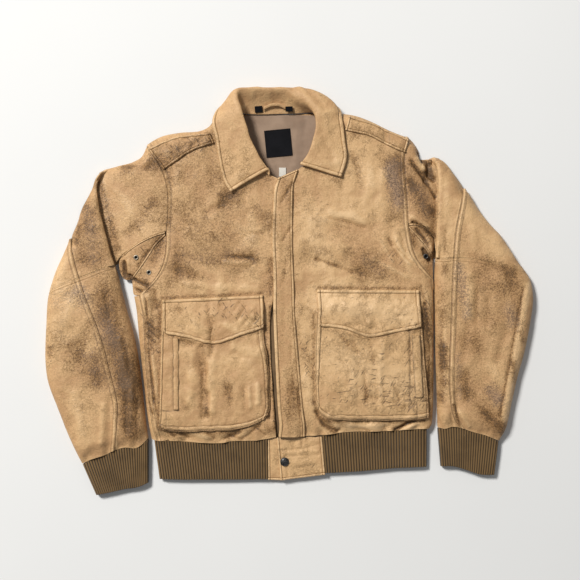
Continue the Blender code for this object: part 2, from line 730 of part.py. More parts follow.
def build_gusset_inner(side):
    seam, along = gusset_rows("gusset_seam_" + side)
    arm = curve("armhole_low_" + side, 5)
    arm[-1] = arm[-2] + (arm[-1] - arm[-2]) * INNER_TIP
    low = curve("gusset_side_" + side, 3)
    if side == "left":
        low = placed(chain(FINE["gusset_side_left"], back(FINE["armpit_left"])), 3)
    net = coons(seam, arm, low, straight(seam[-1], arm[-1], 3))
    share = np.linspace(0, 1, net.shape[1])[None]
    heights = (GUSSET_SEAM_Z + GUSSET_CLIMB * along) * (1 - share) + body_top(arm)[:, None] * share
    heights = heights - 1.5 * np.sin(np.pi * share)
    heights = gusset_rise(along, heights) * (1 - share**3) + heights * share**3
    cloth("gusset_inner_" + side, inset(lifted(net, heights), south=0, east=GUSSET_DRAW))


# ---- the ribbed knit ----

CUFFS = {
    # mouth: the plan line of the knit cuff's free edge, from the inner side outward
    "left": ((-265, -358), (-284, -366), (-310, -370), (-336, -376), (-362, -381)),
    "right": ((286, -327), (309, -327), (334, -334), (358, -342), (386, -343)),
}
CUFF_TOP_Z, CUFF_MOUTH_Z = 13.6, 12.0
CUFF_ROUND = (0, 0.04, 0.12, 0.24, 0.37, 0.5, 0.63, 0.76, 0.88, 0.96, 1)
CUFF_CLEAR = 1.2
TUCKED = 3.0
TUCK_START, TUCK_REACH = 6, 12


def build_cuff(side):
    """A flattened tube of knit to its open mouth, its upper half tucked under the leather's hem."""
    hem = placed(chain(FINE["cuff_inner_" + side], FINE["cuff_outer_" + side]), CUFF_ROUND)
    mouth = placed(smooth(CUFFS[side]), CUFF_ROUND)
    toward = mouth - hem
    toward /= np.linalg.norm(toward, axis=1)[:, None]
    width = np.linalg.norm(hem[-1] - hem[0])
    edge = np.minimum(np.array(CUFF_ROUND), 1 - np.array(CUFF_ROUND)) * width
    tuck = (CUFF_CLEAR + TUCKED) * ease((edge - TUCK_START) / TUCK_REACH)[:, None]
    rows = []
    for share in (0, 0.33, 0.67, 1):
        top = CUFF_TOP_Z + (CUFF_MOUTH_Z - CUFF_TOP_Z) * share
        upper = KNIT_FOLD_Z + (top - KNIT_FOLD_Z) * rise(edge, 8)
        lower = KNIT_FOLD_Z + (KNIT / 2 - KNIT_FOLD_Z) * rise(edge, 7)
        plan = (hem + toward * CUFF_CLEAR) * (1 - share) + mouth * share
        over = plan - toward * tuck * (1 - share)
        rows.append(chain(lifted_line(over, upper), back(lifted_line(plan, lower))))
    cloth("cuff_" + side, np.array(rows), KNIT, "rib_knit", ring=True)


def lifted_line(line, heights):
    return np.column_stack([line, heights])

BAND = {
    # inner end, bottom line and outer end of each front stretch of the waistband
    "left": (
        ((-40, -272), (-39, -351)),
        ((-39, -351), (-100, -352), (-160, -352), (-205, -352), (-242, -351)),
        ((-252, -277), (-242, -351)),
    ),
    "right": (
        ((62, -270), (68, -340)), ((68, -340), (105, -338), (139, -336), (194, -331), (259, -328)),
        ((259, -258), (259, -328)),
    ),
}


def band_top(net, side):
    (_, _), bottom, outer = BAND[side]
    from_hem = away(net, "hem_left", "strip_hem_left") if side == "left" else away(net, "hem_right")
    crown = KNIT_TOP_Z + (KNIT_MOUTH_Z - KNIT_TOP_Z) * np.clip(from_hem / 72, 0, 1)
    start, step = np.array(outer[0], float), np.array(outer[1], float) - np.array(outer[0], float)
    share = ((net - start) * step).sum(-1) / (step @ step)
    from_fold = np.linalg.norm(net - start - share[..., None] * step, axis=-1)
    return KNIT_FOLD_Z + (crown - KNIT_FOLD_Z) * rise(from_fold, 12)


def build_band(side):
    inner, bottom, outer = BAND[side]
    columns = tuple(TO_FOLD)
    hem = chain(FINE["hem_left"], FINE["strip_hem_left"]) if side == "left" else FINE["hem_right"]
    inner = straight(inner[0], inner[1], 3)
    outer = straight(outer[0], outer[1], 3)
    hem = hem[np.abs(hem[:, 0]) >= abs(inner[0][0])]
    top = joined(placed(hem, columns), inner[0], outer[0])
    net = coons(inner, outer, top, placed(smooth(bottom), columns))
    net = lifted(net, band_top(net, side))
    net[:, -1, 2] = KNIT_FOLD_Z
    cloth("band_" + side, inset(net, south=-TUCKED, east=0), KNIT, "rib_knit")


def build_band_back():
    """The waistband's back, on the floor, its ends curled up to the folds at the sides."""
    left, right = BAND["left"], BAND["right"]
    west = straight(left[2][0], left[2][1], 2)
    east = straight(right[2][0], right[2][1], 2)
    columns = (0, 0.008, 0.025, 0.14, 0.32, 0.5, 0.68, 0.86, 0.975, 0.992, 1)
    hem = joined(curve("hem_back", columns), west[0], east[0])
    hem[:, 1] -= CUFF_CLEAR
    mouth = smooth(((-242, -351), (-160, -350), (-39, -349), (68, -339), (194, -330), (259, -328)))
    net = coons(west, east, hem, joined(placed(mouth, columns), west[-1], east[-1]))
    ends = np.minimum(net[..., 0] - west[:, :1], east[:, :1] - net[..., 0])
    heights = KNIT / 2 + (KNIT_FOLD_Z - KNIT - SEAM_GAP - KNIT / 2) * (1 - rise(ends, 10))
    cloth("band_back", inset(lifted(net, heights)), KNIT, "rib_knit")


# ---- the closure ----

TAB_UNDER = ((-39.4, -272.5), (-14, -272.5), (-8, -353), (-38.4, -352))
TAB_OVER = ((-22, -272.5), (61.3, -270.5), (67.4, -342), (-15, -352.5))
SNAP_AT = (-8, -318)
TAB_UNDER_Z, TAB_OVER_Z = 11.4, 14.4
TAB_TOP, TAB_LENGTH, TAB_DROP = -272, 80, 2.2


def tab_drop(height):
    """How far the tabs have come down at a place along them."""
    return np.clip((TAB_TOP - height) / TAB_LENGTH, 0, 1) * TAB_DROP


def build_tabs():
    for name, (nw, ne, se, sw), height, columns in (
        ("tab_under", TAB_UNDER, TAB_UNDER_Z, 2),
        ("tab_over", TAB_OVER, TAB_OVER_Z, 4),
    ):
        low, high = straight(sw, se, columns), straight(nw, ne, columns)
        net = coons(straight(sw, nw, 4), straight(se, ne, 4), low, high)
        cloth(name, lifted(net, height - tab_drop(net[..., 1])), DOUBLE)

ROUND_STEPS = 12


def turned(name, profile, at, finish_name):
    """A small round piece: its profile of radius and height spun about an upright axis."""
    bm = bmesh.new()
    rim = [bm.verts.new((radius * MM, 0, height * MM)) for radius, height in profile]
    edges = [bm.edges.new(pair) for pair in zip(rim, rim[1:])]
    if profile[0][0] > 0.01:
        edges.append(bm.edges.new((rim[-1], rim[0])))
    bmesh.ops.spin(
        bm, geom=edges, cent=(0, 0, 0), axis=(0, 0, 1), angle=2 * math.pi, steps=ROUND_STEPS, use_merge=True
    )
    bmesh.ops.remove_doubles(bm, verts=bm.verts, dist=0.00001)
    bmesh.ops.recalc_face_normals(bm, faces=bm.faces)
    mesh = bpy.data.meshes.new(name)
    bm.to_mesh(mesh)
    bm.free()
    made(name, mesh, finish_name).location = [value * MM for value in at]

SNAP_PROFILE = ((0, 0), (7.4, 0), (8.0, 0.8), (7.2, 1.8), (5.0, 2.6), (0, 2.9))
EYELET_PROFILE = ((2.3, 0), (4.4, 0), (4.1, 0.8), (3.0, 1.2), (2.3, 0.9))
EYELETS = (
    # plan place, and the height of the gusset's face under it
    ("eyelet_outer_left", (-286, 65), 18.6),
    ("eyelet_inner_left", (-262, 37), 18.3),
    ("eyelet_inner_right", (256, 67), 18.3),
)


def build_metal():
    height = TAB_OVER_Z - tab_drop(SNAP_AT[1]) + DOUBLE / 2 + SEAM_GAP
    turned("snap", SNAP_PROFILE, (*SNAP_AT, height), "dark_metal")
    for name, place, height in EYELETS:
        turned(name, EYELET_PROFILE, (*place, height), "dark_metal")

FLAP_LEFT = (
    (-17, -271), (-17, -248), (-21, -202), (-28, -52), (-28, 7), (-29, 47), (-31, 98), (-29, 155),
    (-27, 187), (-20, 212),
)
FLAP_RIGHT = ((29, -271), (29, -248), (24, -202), (11, -52), (9, 7), (6, 88), (6, 165), (8, 200), (16, 228))


# Rows up the storm flap, closer where it comes down to the hem
FLAP_ROWS = (0, 0.035, 0.07, 0.12, 0.2, 0.3, 0.4, 0.5, 0.6, 0.7, 0.8, 0.9, 0.96, 1)


def build_storm_flap():
    """The doubled flap over the zip, sewn to the right front and lying on the left one."""
    west = placed(smooth(FLAP_LEFT), FLAP_ROWS)
    east = placed(smooth(FLAP_RIGHT), FLAP_ROWS)
    net = coons(west, east, straight(west[0], east[0], 4), straight(west[-1], east[-1], 4))
    cloth("storm_flap", on(body_top, net, LEATHER / 2 + LAY_GAP + DOUBLE / 2), DOUBLE)

ZIP_OVERLAP, ZIP_DROP = 9.0, 3.8
ZIP_ROWS = (0, 0.035, 0.07, 0.13, 0.25, 0.37, 0.49, 0.61, 0.73, 0.85, 0.94)


def build_zip():
    west = curve("centre_left", ZIP_ROWS) - (ZIP_OVERLAP, 0)
    east = curve("centre_right", ZIP_ROWS) + (ZIP_OVERLAP, 0)
    net = coons(west, east, straight(west[0], east[0], 2), straight(west[-1], east[-1], 2))
    cloth("zip", lifted(net, body_top(net) - ZIP_DROP), LINING, "zip_tape")


# ---- the pockets ----

Pocket = namedtuple("Pocket", "west east south north flap_top flap_point flap_ends flap_drop welt")
POCKETS = {
    "left": Pocket(
        west=((-240, -254), (-239, -200), (-237, -120), (-236, -35)),
        east=((-44, -232), (-37, -205), (-42, -123), (-48, -80), (-49, -35)),
        south=((-240, -254), (-225, -257), (-174, -259), (-105, -255), (-64, -246), (-44, -232)),
        north=((-236, -35), (-49, -35)),
        flap_top=((-236, -15), (-49, -6)),
        flap_point=(-142, -96),
        flap_ends=((-233, -75), (-48, -66)),
        flap_drop=7,
        welt=((-209.5, -219), (-210.5, -86)),
    ),
    "right": Pocket(
        west=((53, -210), (50, -170), (50, -110), (52, -35)),
        east=((259, -233), (258, -197), (251, -120), (245, -35)),
        south=((53, -210), (63, -229), (90, -237), (177, -238), (230, -236), (259, -233)),
        north=((52, -35), (245, -35)),
        flap_top=((53, 4), (242, 3)),
        flap_point=(150, -83),
        flap_ends=((56, -61), (245, -64)),
        flap_drop=7,
        welt=((242, -196), (236, -80)),
    ),
}
POCKET_LIFT = LEATHER + LAY_GAP + SEAM_GAP
POCKET_FULL = 2.2
FLAP_SETTLED = 0.8
WELT_HALF = 4.6


# Closer together towards the side of the body, where the pocket bends with it
POCKET_COLUMNS = (0, 0.18, 0.36, 0.54, 0.7, 0.83, 0.91, 0.96, 1)


def pocket_lift(net):
    """Rows and columns of a pocket's net, raised towards its middle as by a full bellows."""
    rows = np.linspace(0, 1, net.shape[0])[:, None]
    columns = np.linspace(0, 1, net.shape[1])[None]
    return POCKET_LIFT + POCKET_FULL * (np.sin(np.pi * rows) * np.sin(np.pi * columns)) ** 0.5


def build_pocket(side):
    shape = POCKETS[side]
    columns = POCKET_COLUMNS if side == "right" else tuple(1 - share for share in POCKET_COLUMNS[::-1])
    west, east = placed(smooth(shape.west), 8), placed(smooth(shape.east), 8)
    south, north = placed(smooth(shape.south), columns), placed(np.array(shape.north, float), columns)
    net = coons(west, east, south, north)
    cloth("pocket_" + side, on(body_top, net, pocket_lift(net)))
    left, right = np.array(shape.flap_ends, float)
    point = np.array(shape.flap_point, float)
    lower = chain(straight(left, point, 4), straight(point, right, 4))
    upper = straight(*shape.flap_top, 8)
    flap = coons(straight(left, upper[0], 4), straight(right, upper[-1], 4), lower, upper)
    over_pocket = POCKET_LIFT + POCKET_FULL + LEATHER / 2 + LAY_GAP
    flap_lift = over_pocket + DOUBLE / 2 - FLAP_SETTLED
    cloth("pocket_flap_" + side, on(body_top, flap, flap_lift), DOUBLE)
    middle = placed(np.array(shape.welt, float), 6)
    net = np.stack([middle + (shift, 0) for shift in (-WELT_HALF, 0, WELT_HALF)], axis=1)
    cloth("pocket_welt_" + side, on(body_top, net, over_pocket + LEATHER / 2), LEATHER)


# ---- the shoulders ----

EPAULETS = {
    # lower and upper long edges, from the armhole to the collar
    "left": (
        ((-233, 230), (-213, 243), (-184, 262), (-160, 272), (-140, 278)),
        ((-262, 266), (-233, 280), (-203, 289), (-172, 292), (-147, 295)),
    ),
    "right": (
        ((216, 261), (200, 267), (174, 280), (148, 293), (106, 302)),
        ((222, 283), (206, 290), (181, 301), (155, 313), (112, 326)),
    ),
}


def build_epaulet(side):
    lower, upper = (placed(smooth(line), 8) for line in EPAULETS[side])
    net = coons(lower, upper, straight(lower[0], upper[0], 6), straight(lower[-1], upper[-1], 6))
    cloth("epaulet_" + side, on(body_top, net, LEATHER / 2 + LAY_GAP * 2 + DOUBLE / 2), DOUBLE)


# ---- the collar and the neck ----

# Sections of the collar from the left leaf's point round the neck to the right leaf's. Each gives where
# it is sewn, its stand, its roll, two places on its fall, and the fall's free edge.
COLLAR_SECTIONS = (
    ((-37, 218, 25.2), (-36, 222, 27), (-38, 227, 29.2), (-60, 216, 29.5), (-84, 202, 28.4), (-108, 187, 27.4)),
    ((-64, 243, 25.2), (-57, 247, 28), (-55, 252, 31.5), (-77, 239, 31.5), (-99, 221, 29), (-119, 204, 27.4)),
    ((-81, 279, 25.2), (-73, 281, 29), (-72, 285, 33), (-92, 273, 32), (-111, 258, 29.2), (-129, 243, 27.4)),
    ((-89, 306, 25), (-82, 308, 29), (-80, 311, 34), (-99, 304, 33), (-118, 296, 30), (-136, 287, 27.4)),
    ((-93, 324, 23.6), (-89, 328, 28), (-88, 335, 34), (-105, 333, 33), (-123, 328, 30), (-142, 319, 26)),
    ((-95, 335, 15), (-93, 344, 24), (-94, 354, 32), (-110, 354, 28.5), (-124, 349, 20), (-133, 342, 10)),
    ((-85, 336.5, 6), (-88, 355, 15), (-94, 370, 27), (-102, 376, 24), (-112, 366, 12), (-114, 352, 3.5)),
    ((-66, 335, 4.6), (-68, 357, 13), (-71, 376, 25), (-72, 380.5, 21), (-74, 379, 8), (-76, 350, 1.4)),
    ((-40, 335, 4.6), (-41, 357, 12.5), (-42, 375, 24), (-42, 380, 20), (-42, 378, 8), (-42, 345, 1.4)),
    ((-10, 336, 4.6), (-10, 358, 12.5), (-10, 375, 24.5), (-7, 381, 21), (-6, 379, 8.5), (-6, 346, 1.4)),
    ((16, 337, 4.8), (14, 349, 12), (14, 362, 27), (30, 377, 25), (40, 378, 12), (40, 352, 2)),
    ((36, 339, 5.6), (33, 343, 15), (36, 347, 30), (55, 362, 29), (70, 365, 20), (76, 353, 6)),
    ((53, 336, 15), (47, 334, 22), (48, 332, 33), (66, 341, 32), (84, 348, 26), (94, 341, 14)),
    ((60, 312, 24.6), (53, 312, 28), (51, 312, 34), (68, 316, 33), (85, 319, 30.5), (99, 320, 26.4)),
    ((57, 284, 25.2), (49, 284, 29), (46, 284, 33), (66, 284, 32), (86, 282, 29.5), (104, 280, 27.4)),
    ((47, 257, 25.2), (39, 256, 28), (36, 256, 31.5), (60, 254, 31.5), (84, 251, 29.2), (107, 248, 27.4)),
    ((31, 239, 26.2), (26, 238, 27.6), (22, 238, 29.4), (48, 230, 29.6), (73, 222, 28.6), (97, 215, 27.4)),
)
COLLAR_COLUMNS = 9


def build_collar():
    rows = [placed(smooth(section), COLLAR_COLUMNS) for section in COLLAR_SECTIONS]
    cloth("collar", np.array(rows), COLLAR)

LINING_Z = LEATHER + SEAM_GAP + LINING / 2


def build_lining():
    west = straight((-120, 190), (-112, 326), 5)
    east = straight((92, 190), (80, 326), 5)
    north = placed(smooth(((-112, 326), (-92, 330), (-20, 332), (50, 331), (80, 326))), 8)
    net = coons(west, east, straight((-120, 190), (92, 190), 8), north)
    cloth("lining_neck", lifted(net, np.full(net.shape[:2], LINING_Z)), LINING, "lining_cloth")


def patch(name, centre, size, turn, height, thickness, finish_name, slope=0.0):
    """A small flat sewn piece, turned in plan and sloping up the collar's stand."""
    across = np.linspace(-0.5, 0.5, 3) * size[0]
    along = np.linspace(-0.5, 0.5, 3) * size[1]
    x, y = np.meshgrid(across, along)
    angle = math.radians(turn)
    plan = np.dstack([
        centre[0] + x * math.cos(angle) - y * math.sin(angle),
        centre[1] + x * math.sin(angle) + y * math.cos(angle),
    ])
    cloth(name, lifted(plan, height + slope * y), thickness, finish_name)

STAND_SLOPE = 0.4
STRAP_Z, STRAP_Y, STRAP_HALF = 11.7, 344, 2.6


def build_neck_pieces():
    on_lining = LINING_Z + LINING / 2 + SEAM_GAP + LINING / 2
    patch("label", (-20, 281), (49, 51), 5.5, on_lining, LINING, "label_cloth")
    patch("size_tag", (-12, 226), (13, 17), 0, on_lining, LINING, "tag_cloth")
    patch("hanger_end_left", (-57, 343.5), (14, 11), 4, 10.6, LINING, "label_cloth", STAND_SLOPE)
    patch("hanger_end_right", (0.5, 343.5), (13, 9), 2, 12.9, LINING, "label_cloth", STAND_SLOPE)
    line = placed(smooth(((-48, 344), (-38, 349), (-27, 351.5), (-16, 350.5), (-7, 346))), 8)
    heights = STRAP_Z + STAND_SLOPE * (line[:, 1] - STRAP_Y)
    net = [lifted_line(line + (0, s * STRAP_HALF), heights + s) for s in (-1, 1)]
    cloth("hanger_strap", np.stack(net, axis=1), DOUBLE)


def main():
    for item in list(bpy.data.objects):
        bpy.data.objects.remove(item, do_unlink=True)
    build_back()
    build_front_left()
    build_front_right()
    for side in ("left", "right"):
        build_upper_inner(side)
        build_upper_outer(side)
        build_lower_inner(side)
        build_lower_outer(side)
        build_under_sleeve(side)
        build_gusset_outer(side)
        build_gusset_inner(side)
        build_cuff(side)
        build_band(side)
        build_pocket(side)
        build_epaulet(side)
    build_band_back()
    build_tabs()
    build_metal()
    build_storm_flap()
    build_zip()
    build_collar()
    build_lining()
    build_neck_pieces()


main()
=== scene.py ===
"""The looks of a worn leather flight jacket laid flat on its back.

Tables are in millimetres, seen from above: -X is the left, +Y is the collar. Every cut piece of the
jacket is a thin wall of cloth over a net of places, with its folds, seams, wear and painted shade and light
listed.
"""

import math
from collections import namedtuple

import bmesh
import bpy
import numpy as np
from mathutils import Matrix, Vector
from numpy.linalg import norm


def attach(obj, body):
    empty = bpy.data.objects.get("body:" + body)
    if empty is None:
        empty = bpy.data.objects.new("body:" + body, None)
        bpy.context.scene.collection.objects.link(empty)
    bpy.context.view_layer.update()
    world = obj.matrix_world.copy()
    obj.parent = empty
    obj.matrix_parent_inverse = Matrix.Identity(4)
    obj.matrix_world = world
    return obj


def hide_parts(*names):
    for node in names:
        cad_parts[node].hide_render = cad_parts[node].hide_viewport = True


bl_info = {
    "name": "Worn flight jacket",
    "version": (1, 0, 0),
    "blender": (4, 5, 0),
    "location": "3D View > Sidebar > Jacket",
    "description": "Makes a worn leather flight jacket laid flat, piece by piece",
    "category": "Add Mesh",
}

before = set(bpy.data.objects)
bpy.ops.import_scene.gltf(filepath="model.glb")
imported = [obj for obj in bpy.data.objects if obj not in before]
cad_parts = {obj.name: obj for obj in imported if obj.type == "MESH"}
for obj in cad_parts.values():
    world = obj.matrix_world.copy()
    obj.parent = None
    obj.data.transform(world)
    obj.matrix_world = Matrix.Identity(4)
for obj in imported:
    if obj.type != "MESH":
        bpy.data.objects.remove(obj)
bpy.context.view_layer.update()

MM = 0.001
LEATHER = 1.4
DOUBLE = 2.0
COLLAR = 2.2
KNIT = 2.6
LINING = 1.0
SEAM_GAP = 0.3
LAY_GAP = 0.5
EDGE_DRAW = 0.22
SIDES = ("left", "right")

# Heights of the laid cloth
FLOOR_Z = LEATHER / 2
FOLD_Z = 9.0
BODY_Z = 22.5
SLEEVE_Z = 26.0
HEM_Z = 16.8
KNIT_TOP_Z = 13.4
KNIT_MOUTH_Z = 10.6
KNIT_FOLD_Z = 6.2
ROLL_REACH = 22.0
PRESSED_Z = 1.9
RIDGE_Z = 20.0
LINING_Z = LEATHER + SEAM_GAP + LINING / 2

# Plan curves: each is a smooth line through its points, from the hem or the armhole outward
CURVES = {
    # the body
    "centre_left": (
        (-24, -272), (-26, -235), (-31, -165), (-35, -95), (-34, -45), (-27, 0), (-20, 50), (-18, 120),
        (-20, 212),
    ),
    "neck_left": ((-20, 212), (-38, 221), (-62, 243), (-79, 278), (-88, 306), (-93, 325), (-97, 337)),
    "hem_left": (
        (-24, -272), (-64, -278), (-105, -279), (-133, -283), (-182, -281), (-215, -279), (-247, -279),
    ),
    "side_seam_left": (
        (-247, -279), (-254, -251), (-261, -206), (-266, -150), (-269, -101), (-271, -50), (-279, -6),
    ),
    "armhole_low_left": ((-279, -6), (-256, 17), (-238, 45), (-230, 75), (-229, 114)),
    "armhole_top_left": (
        (-229, 114), (-226, 161), (-227, 190), (-233, 214), (-242, 237), (-256, 258), (-268, 274),
    ),
    "shoulder_left": (
        (-97, 337), (-118, 335), (-137, 327), (-152, 310), (-172, 302), (-203, 300), (-235, 294),
        (-257, 284), (-268, 274),
    ),
    "armpit_left": ((-279, -6), (-290, -8)),
    "side_fold_left": ((-257, -276), (-264, -239), (-271, -178), (-280, -96), (-285, -40), (-290, -8)),
    "strip_hem_left": ((-247, -279), (-257, -276)),
    "centre_right": (
        (20, -270), (18, -235), (12, -180), (3, -60), (0, 7), (-3, 90), (-2, 170), (6, 208), (18, 230),
    ),
    "neck_right": ((18, 230), (33, 240), (46, 257), (56, 284), (60, 311), (58, 328), (54, 339)),
    "hem_right": ((20, -270), (61, -268), (112, -262), (166, -261), (235, -257), (263, -256)),
    "side_fold_right": (
        (263, -256), (268, -245), (270, -215), (271, -170), (271, -100), (271, -30), (270, 24),
    ),
    "armhole_low_right": ((270, 24), (247, 50), (233, 74), (225, 112), (223, 128)),
    "armhole_top_right": ((223, 128), (221, 165), (218, 205), (216, 235), (217, 262), (226, 290)),
    "shoulder_right": (
        (54, 339), (78, 339), (98, 336), (127, 331), (156, 320), (182, 307), (208, 296), (226, 290),
    ),
    "neck_back": ((-97, 337), (-60, 334), (-20, 334), (20, 336), (54, 339)),
    "hem_back": ((-257, -276), (-133, -281), (0, -275), (112, -266), (235, -258), (263, -256)),
    # the left sleeve
    "cap_fold_left": ((-268, 274), (-277, 256), (-291, 246), (-318, 238), (-346, 231)),
    "top_fold_left": (
        (-409, 103), (-397, 135), (-389, 159), (-376, 181), (-366, 204), (-360, 222), (-346, 231),
    ),
    "outer_fold_left": ((-449, 3), (-438, 37), (-421, 75), (-409, 103)),
    "lower_fold_left": (
        (-388, -322), (-412, -272), (-429, -229), (-447, -183), (-454, -157), (-457, -117),
        (-455, -59), (-453, -21), (-449, 3),
    ),
    "ridge_left": ((-326, 50), (-335, 79), (-345, 117), (-355, 159), (-359, 203), (-346, 231)),
    "inner_fold_left": (
        (-265, -275), (-269, -247), (-273, -209), (-277, -172), (-283, -126), (-291, -84), (-305, -34),
        (-317, 15), (-326, 50),
    ),
    "long_seam_top_left": ((-391, 27), (-400, 58), (-409, 103)),
    "long_seam_low_left": (
        (-326, -296), (-321, -254), (-319, -216), (-324, -184), (-334, -147), (-344, -106),
        (-357, -66), (-378, -13), (-391, 27),
    ),
    "elbow_inner_left": ((-326, 50), (-345, 45), (-368, 36), (-391, 27)),
    "elbow_outer_left": ((-391, 27), (-420, 16), (-449, 3)),
    "cuff_inner_left": ((-265, -275), (-277, -287), (-290, -293), (-306, -291), (-326, -296)),
    "cuff_outer_left": ((-326, -296), (-344, -305), (-369, -313), (-388, -322)),
    "gusset_edge_left": ((-229, 114), (-265, 101), (-297, 81), (-316, 66)),
    "gusset_seam_left": ((-229.4, 108), (-252, 84), (-270, 55), (-285, 36), (-294, 24)),
    "gusset_lip_left": ((-316, 66), (-319, 52), (-317, 38), (-312, 27), (-303, 22), (-294, 24)),
    "gusset_side_left": ((-294, 24), (-293, 6), (-290, -8)),
    # the right sleeve
    "cap_fold_right": ((226, 290), (238, 276), (244, 262), (247, 250), (258, 249), (273, 254)),
    "top_fold_right": ((327, 198), (310, 223), (296, 241), (284, 251), (273, 254)),
    "outer_fold_right": (
        (441, 42), (429, 57), (414, 81), (397, 106), (379, 125), (358, 152), (341, 179), (327, 198),
    ),
    "lower_fold_right": (
        (394, -279), (408, -252), (420, -197), (430, -154), (440, -119), (448, -84), (457, -30),
        (458, -5), (453, 22), (441, 42),
    ),
    "ridge_right": ((275, 64), (276, 93), (277, 131), (279, 179), (279, 225), (273, 254)),
    "inner_fold_right": (
        (280, -254), (279, -225), (278, -180), (276, -120), (275, -60), (274, 10), (275, 64),
    ),
    "long_seam_top_right": ((307, 65), (311, 112), (318, 150), (327, 198)),
    "long_seam_low_right": (
        (322, -254), (309, -236), (302, -210), (299, -165), (300, -115), (302, -60), (304, 4),
        (307, 65),
    ),
    "elbow_inner_right": ((275, 64), (291, 63), (307, 65)),
    "elbow_outer_right": ((307, 65), (353, 61), (397, 52), (441, 42)),
    "cuff_inner_right": ((280, -254), (293, -256), (307, -252), (322, -254)),
    "cuff_outer_right": ((322, -254), (348, -263), (370, -269), (394, -279)),
    "gusset_edge_right": ((223, 128), (244, 127), (261, 117), (272, 104)),
    "gusset_seam_right": ((223.7, 121), (242, 102), (258, 83), (268, 68)),
    "gusset_close_right": ((275, 64), (270, 48), (270, 24)),
    "gusset_lip_right": ((272, 104), (273, 88), (271, 76), (268, 68)),
    "gusset_side_right": ((268, 68), (270, 46), (270, 24)),
}


# ---- lines and nets of places ----


def smooth(points, steps=16):
    """A fine smooth line through the points, with so many steps from each to the next."""
    points = np.array(points, float)
    ends = np.vstack([2 * points[0] - points[1], points, 2 * points[-1] - points[-2]])
    line = [points[0]]
    for a, b, c, d in zip(ends, ends[1:], ends[2:], ends[3:]):
        for t in np.linspace(0, 1, steps + 1)[1:]:
            square, cube = 2 * a - 5 * b + 4 * c - d, 3 * b - a - 3 * c + d
            line.append(0.5 * (2 * b + (c - a) * t + square * t * t + cube * t**3))
    return np.array(line)


def placed(line, shares):
    """Places at the given shares of a line's length, or at that many even steps."""
    shares = np.linspace(0, 1, shares + 1) if np.isscalar(shares) else np.array(shares)
    along = length_shares(line)
    return np.stack([np.interp(shares, along, line[:, k]) for k in range(line.shape[1])], axis=1)


def lengths_along(line):
    return np.concatenate([[0], np.cumsum(norm(np.diff(line, axis=0), axis=1))])


def length_shares(line):
    along = lengths_along(line)
    return along / along[-1]


def curve(name, shares):
    return placed(smooth(CURVES[name]), shares)


def chain(*lines):
    """Lines joined end to end, each shared point once."""
    return np.vstack([lines[0]] + [line[1:] for line in lines[1:]])


def back(line):
    return line[::-1]


def straight(start, end, shares):
    return placed(np.array((start, end), float), shares)


def ends(first, second, shares=20):
    """Straight lines from the first line's two ends to the second's."""
    return straight(first[0], second[0], shares), straight(first[-1], second[-1], shares)


def distance(points, line):
    """How far each plan point lies from the line."""
    points = np.asarray(points, float)
    flat = points.reshape(-1, 2)
    start, step = line[:-1], np.diff(line, axis=0)
    share = ((flat[:, None] - start) * step).sum(2) / (step * step).sum(1)
    foot = start + np.clip(share, 0, 1)[..., None] * step
    return norm(flat[:, None] - foot, axis=2).min(1).reshape(points.shape[:-1])


def away(points, *names):
    """How far each plan point lies from the nearest of the named curves."""
    return np.min([distance(points, FINE[name]) for name in names], axis=0)


FINE = {name: smooth(points, 4) for name, points in CURVES.items()}


def rise(distance, reach):
    """A quarter of an ellipse: 0 on a folded edge, 1 from the reach inward."""
    share = np.clip(distance / reach, 0, 1)
    return np.sqrt(1 - (1 - share) ** 2)


def ease(share):
    share = np.clip(share, 0, 1)
    return share * share * (3 - 2 * share)


# A soft trough or ridge, or a patch of wear, along a line: where it runs, half its width, how much of it
# its patches stand for wear, and also for painted shade and painted light
Fold = namedtuple("Fold", "start end width height")


def folds(*rows):
    """Folds from rows of: start x, start y, end x, end y, half width, height or amount."""
    return tuple(Fold(row[:2], row[2:4], *row[4:]) for row in rows)


BODY_FOLDS = folds(
    (-66, 112, -120, 70, 12, -1.6), (-252, -66, -258, -200, 9, 1.2), (66, 128, 150, 116, 14, -1.6),
    (48, 60, 130, 34, 14, -1.6), (60, 96, 130, 78, 14, 1.4), (28, -90, 40, -190, 7, 1.4),
    (58, -236, 102, -256, 9, -1.6), (-160, -262, -120, -268, 8, 1.5),
)
SLEEVE_FOLDS = folds(
    (-333, -200, -334, -296, 8, -3.0), (-425, -60, -420, -220, 18, 1.5), (313, -190, 316, -252, 7, -3.0),
    (355, 30, 352, -60, 12, -1.6), (389, 22, 386, -110, 14, 1.8), (300, 150, 298, 90, 9, -1.4),
)


def folded(points, folds):
    """The height that the soft folds add at each plan point."""
    total = np.zeros(points.shape[:-1])
    for fold in folds:
        start = np.array(fold.start, float)
        step = np.array(fold.end, float) - start
        share = ((points - start) * step).sum(-1) / (step @ step)
        across = norm(points - start - np.clip(share, 0, 1)[..., None] * step, axis=-1)
        total += fold.height * np.exp(-((across / fold.width) ** 2))
    return total


def coons(west, east, south, north):
    """Rows from south to north and columns from west to east between four edges that meet."""
    rows, columns = len(west), len(south)
    along = (length_shares(west) + length_shares(east)) / 2
    across = (length_shares(south) + length_shares(north)) / 2
    t, s = along[:, None, None], across[None, :, None]
    corners = (
        (1 - s) * (1 - t) * (west[0] + south[0]) / 2
        + s * (1 - t) * (east[0] + south[-1]) / 2
        + (1 - s) * t * (west[-1] + north[0]) / 2
        + s * t * (east[-1] + north[-1]) / 2
    )
    net = (1 - s) * west[:, None] + s * east[:, None] + (1 - t) * south[None] + t * north[None] - corners
    assert net.shape[:2] == (rows, columns)
    return net


def lifted(net, heights):
    return np.dstack([net, heights])


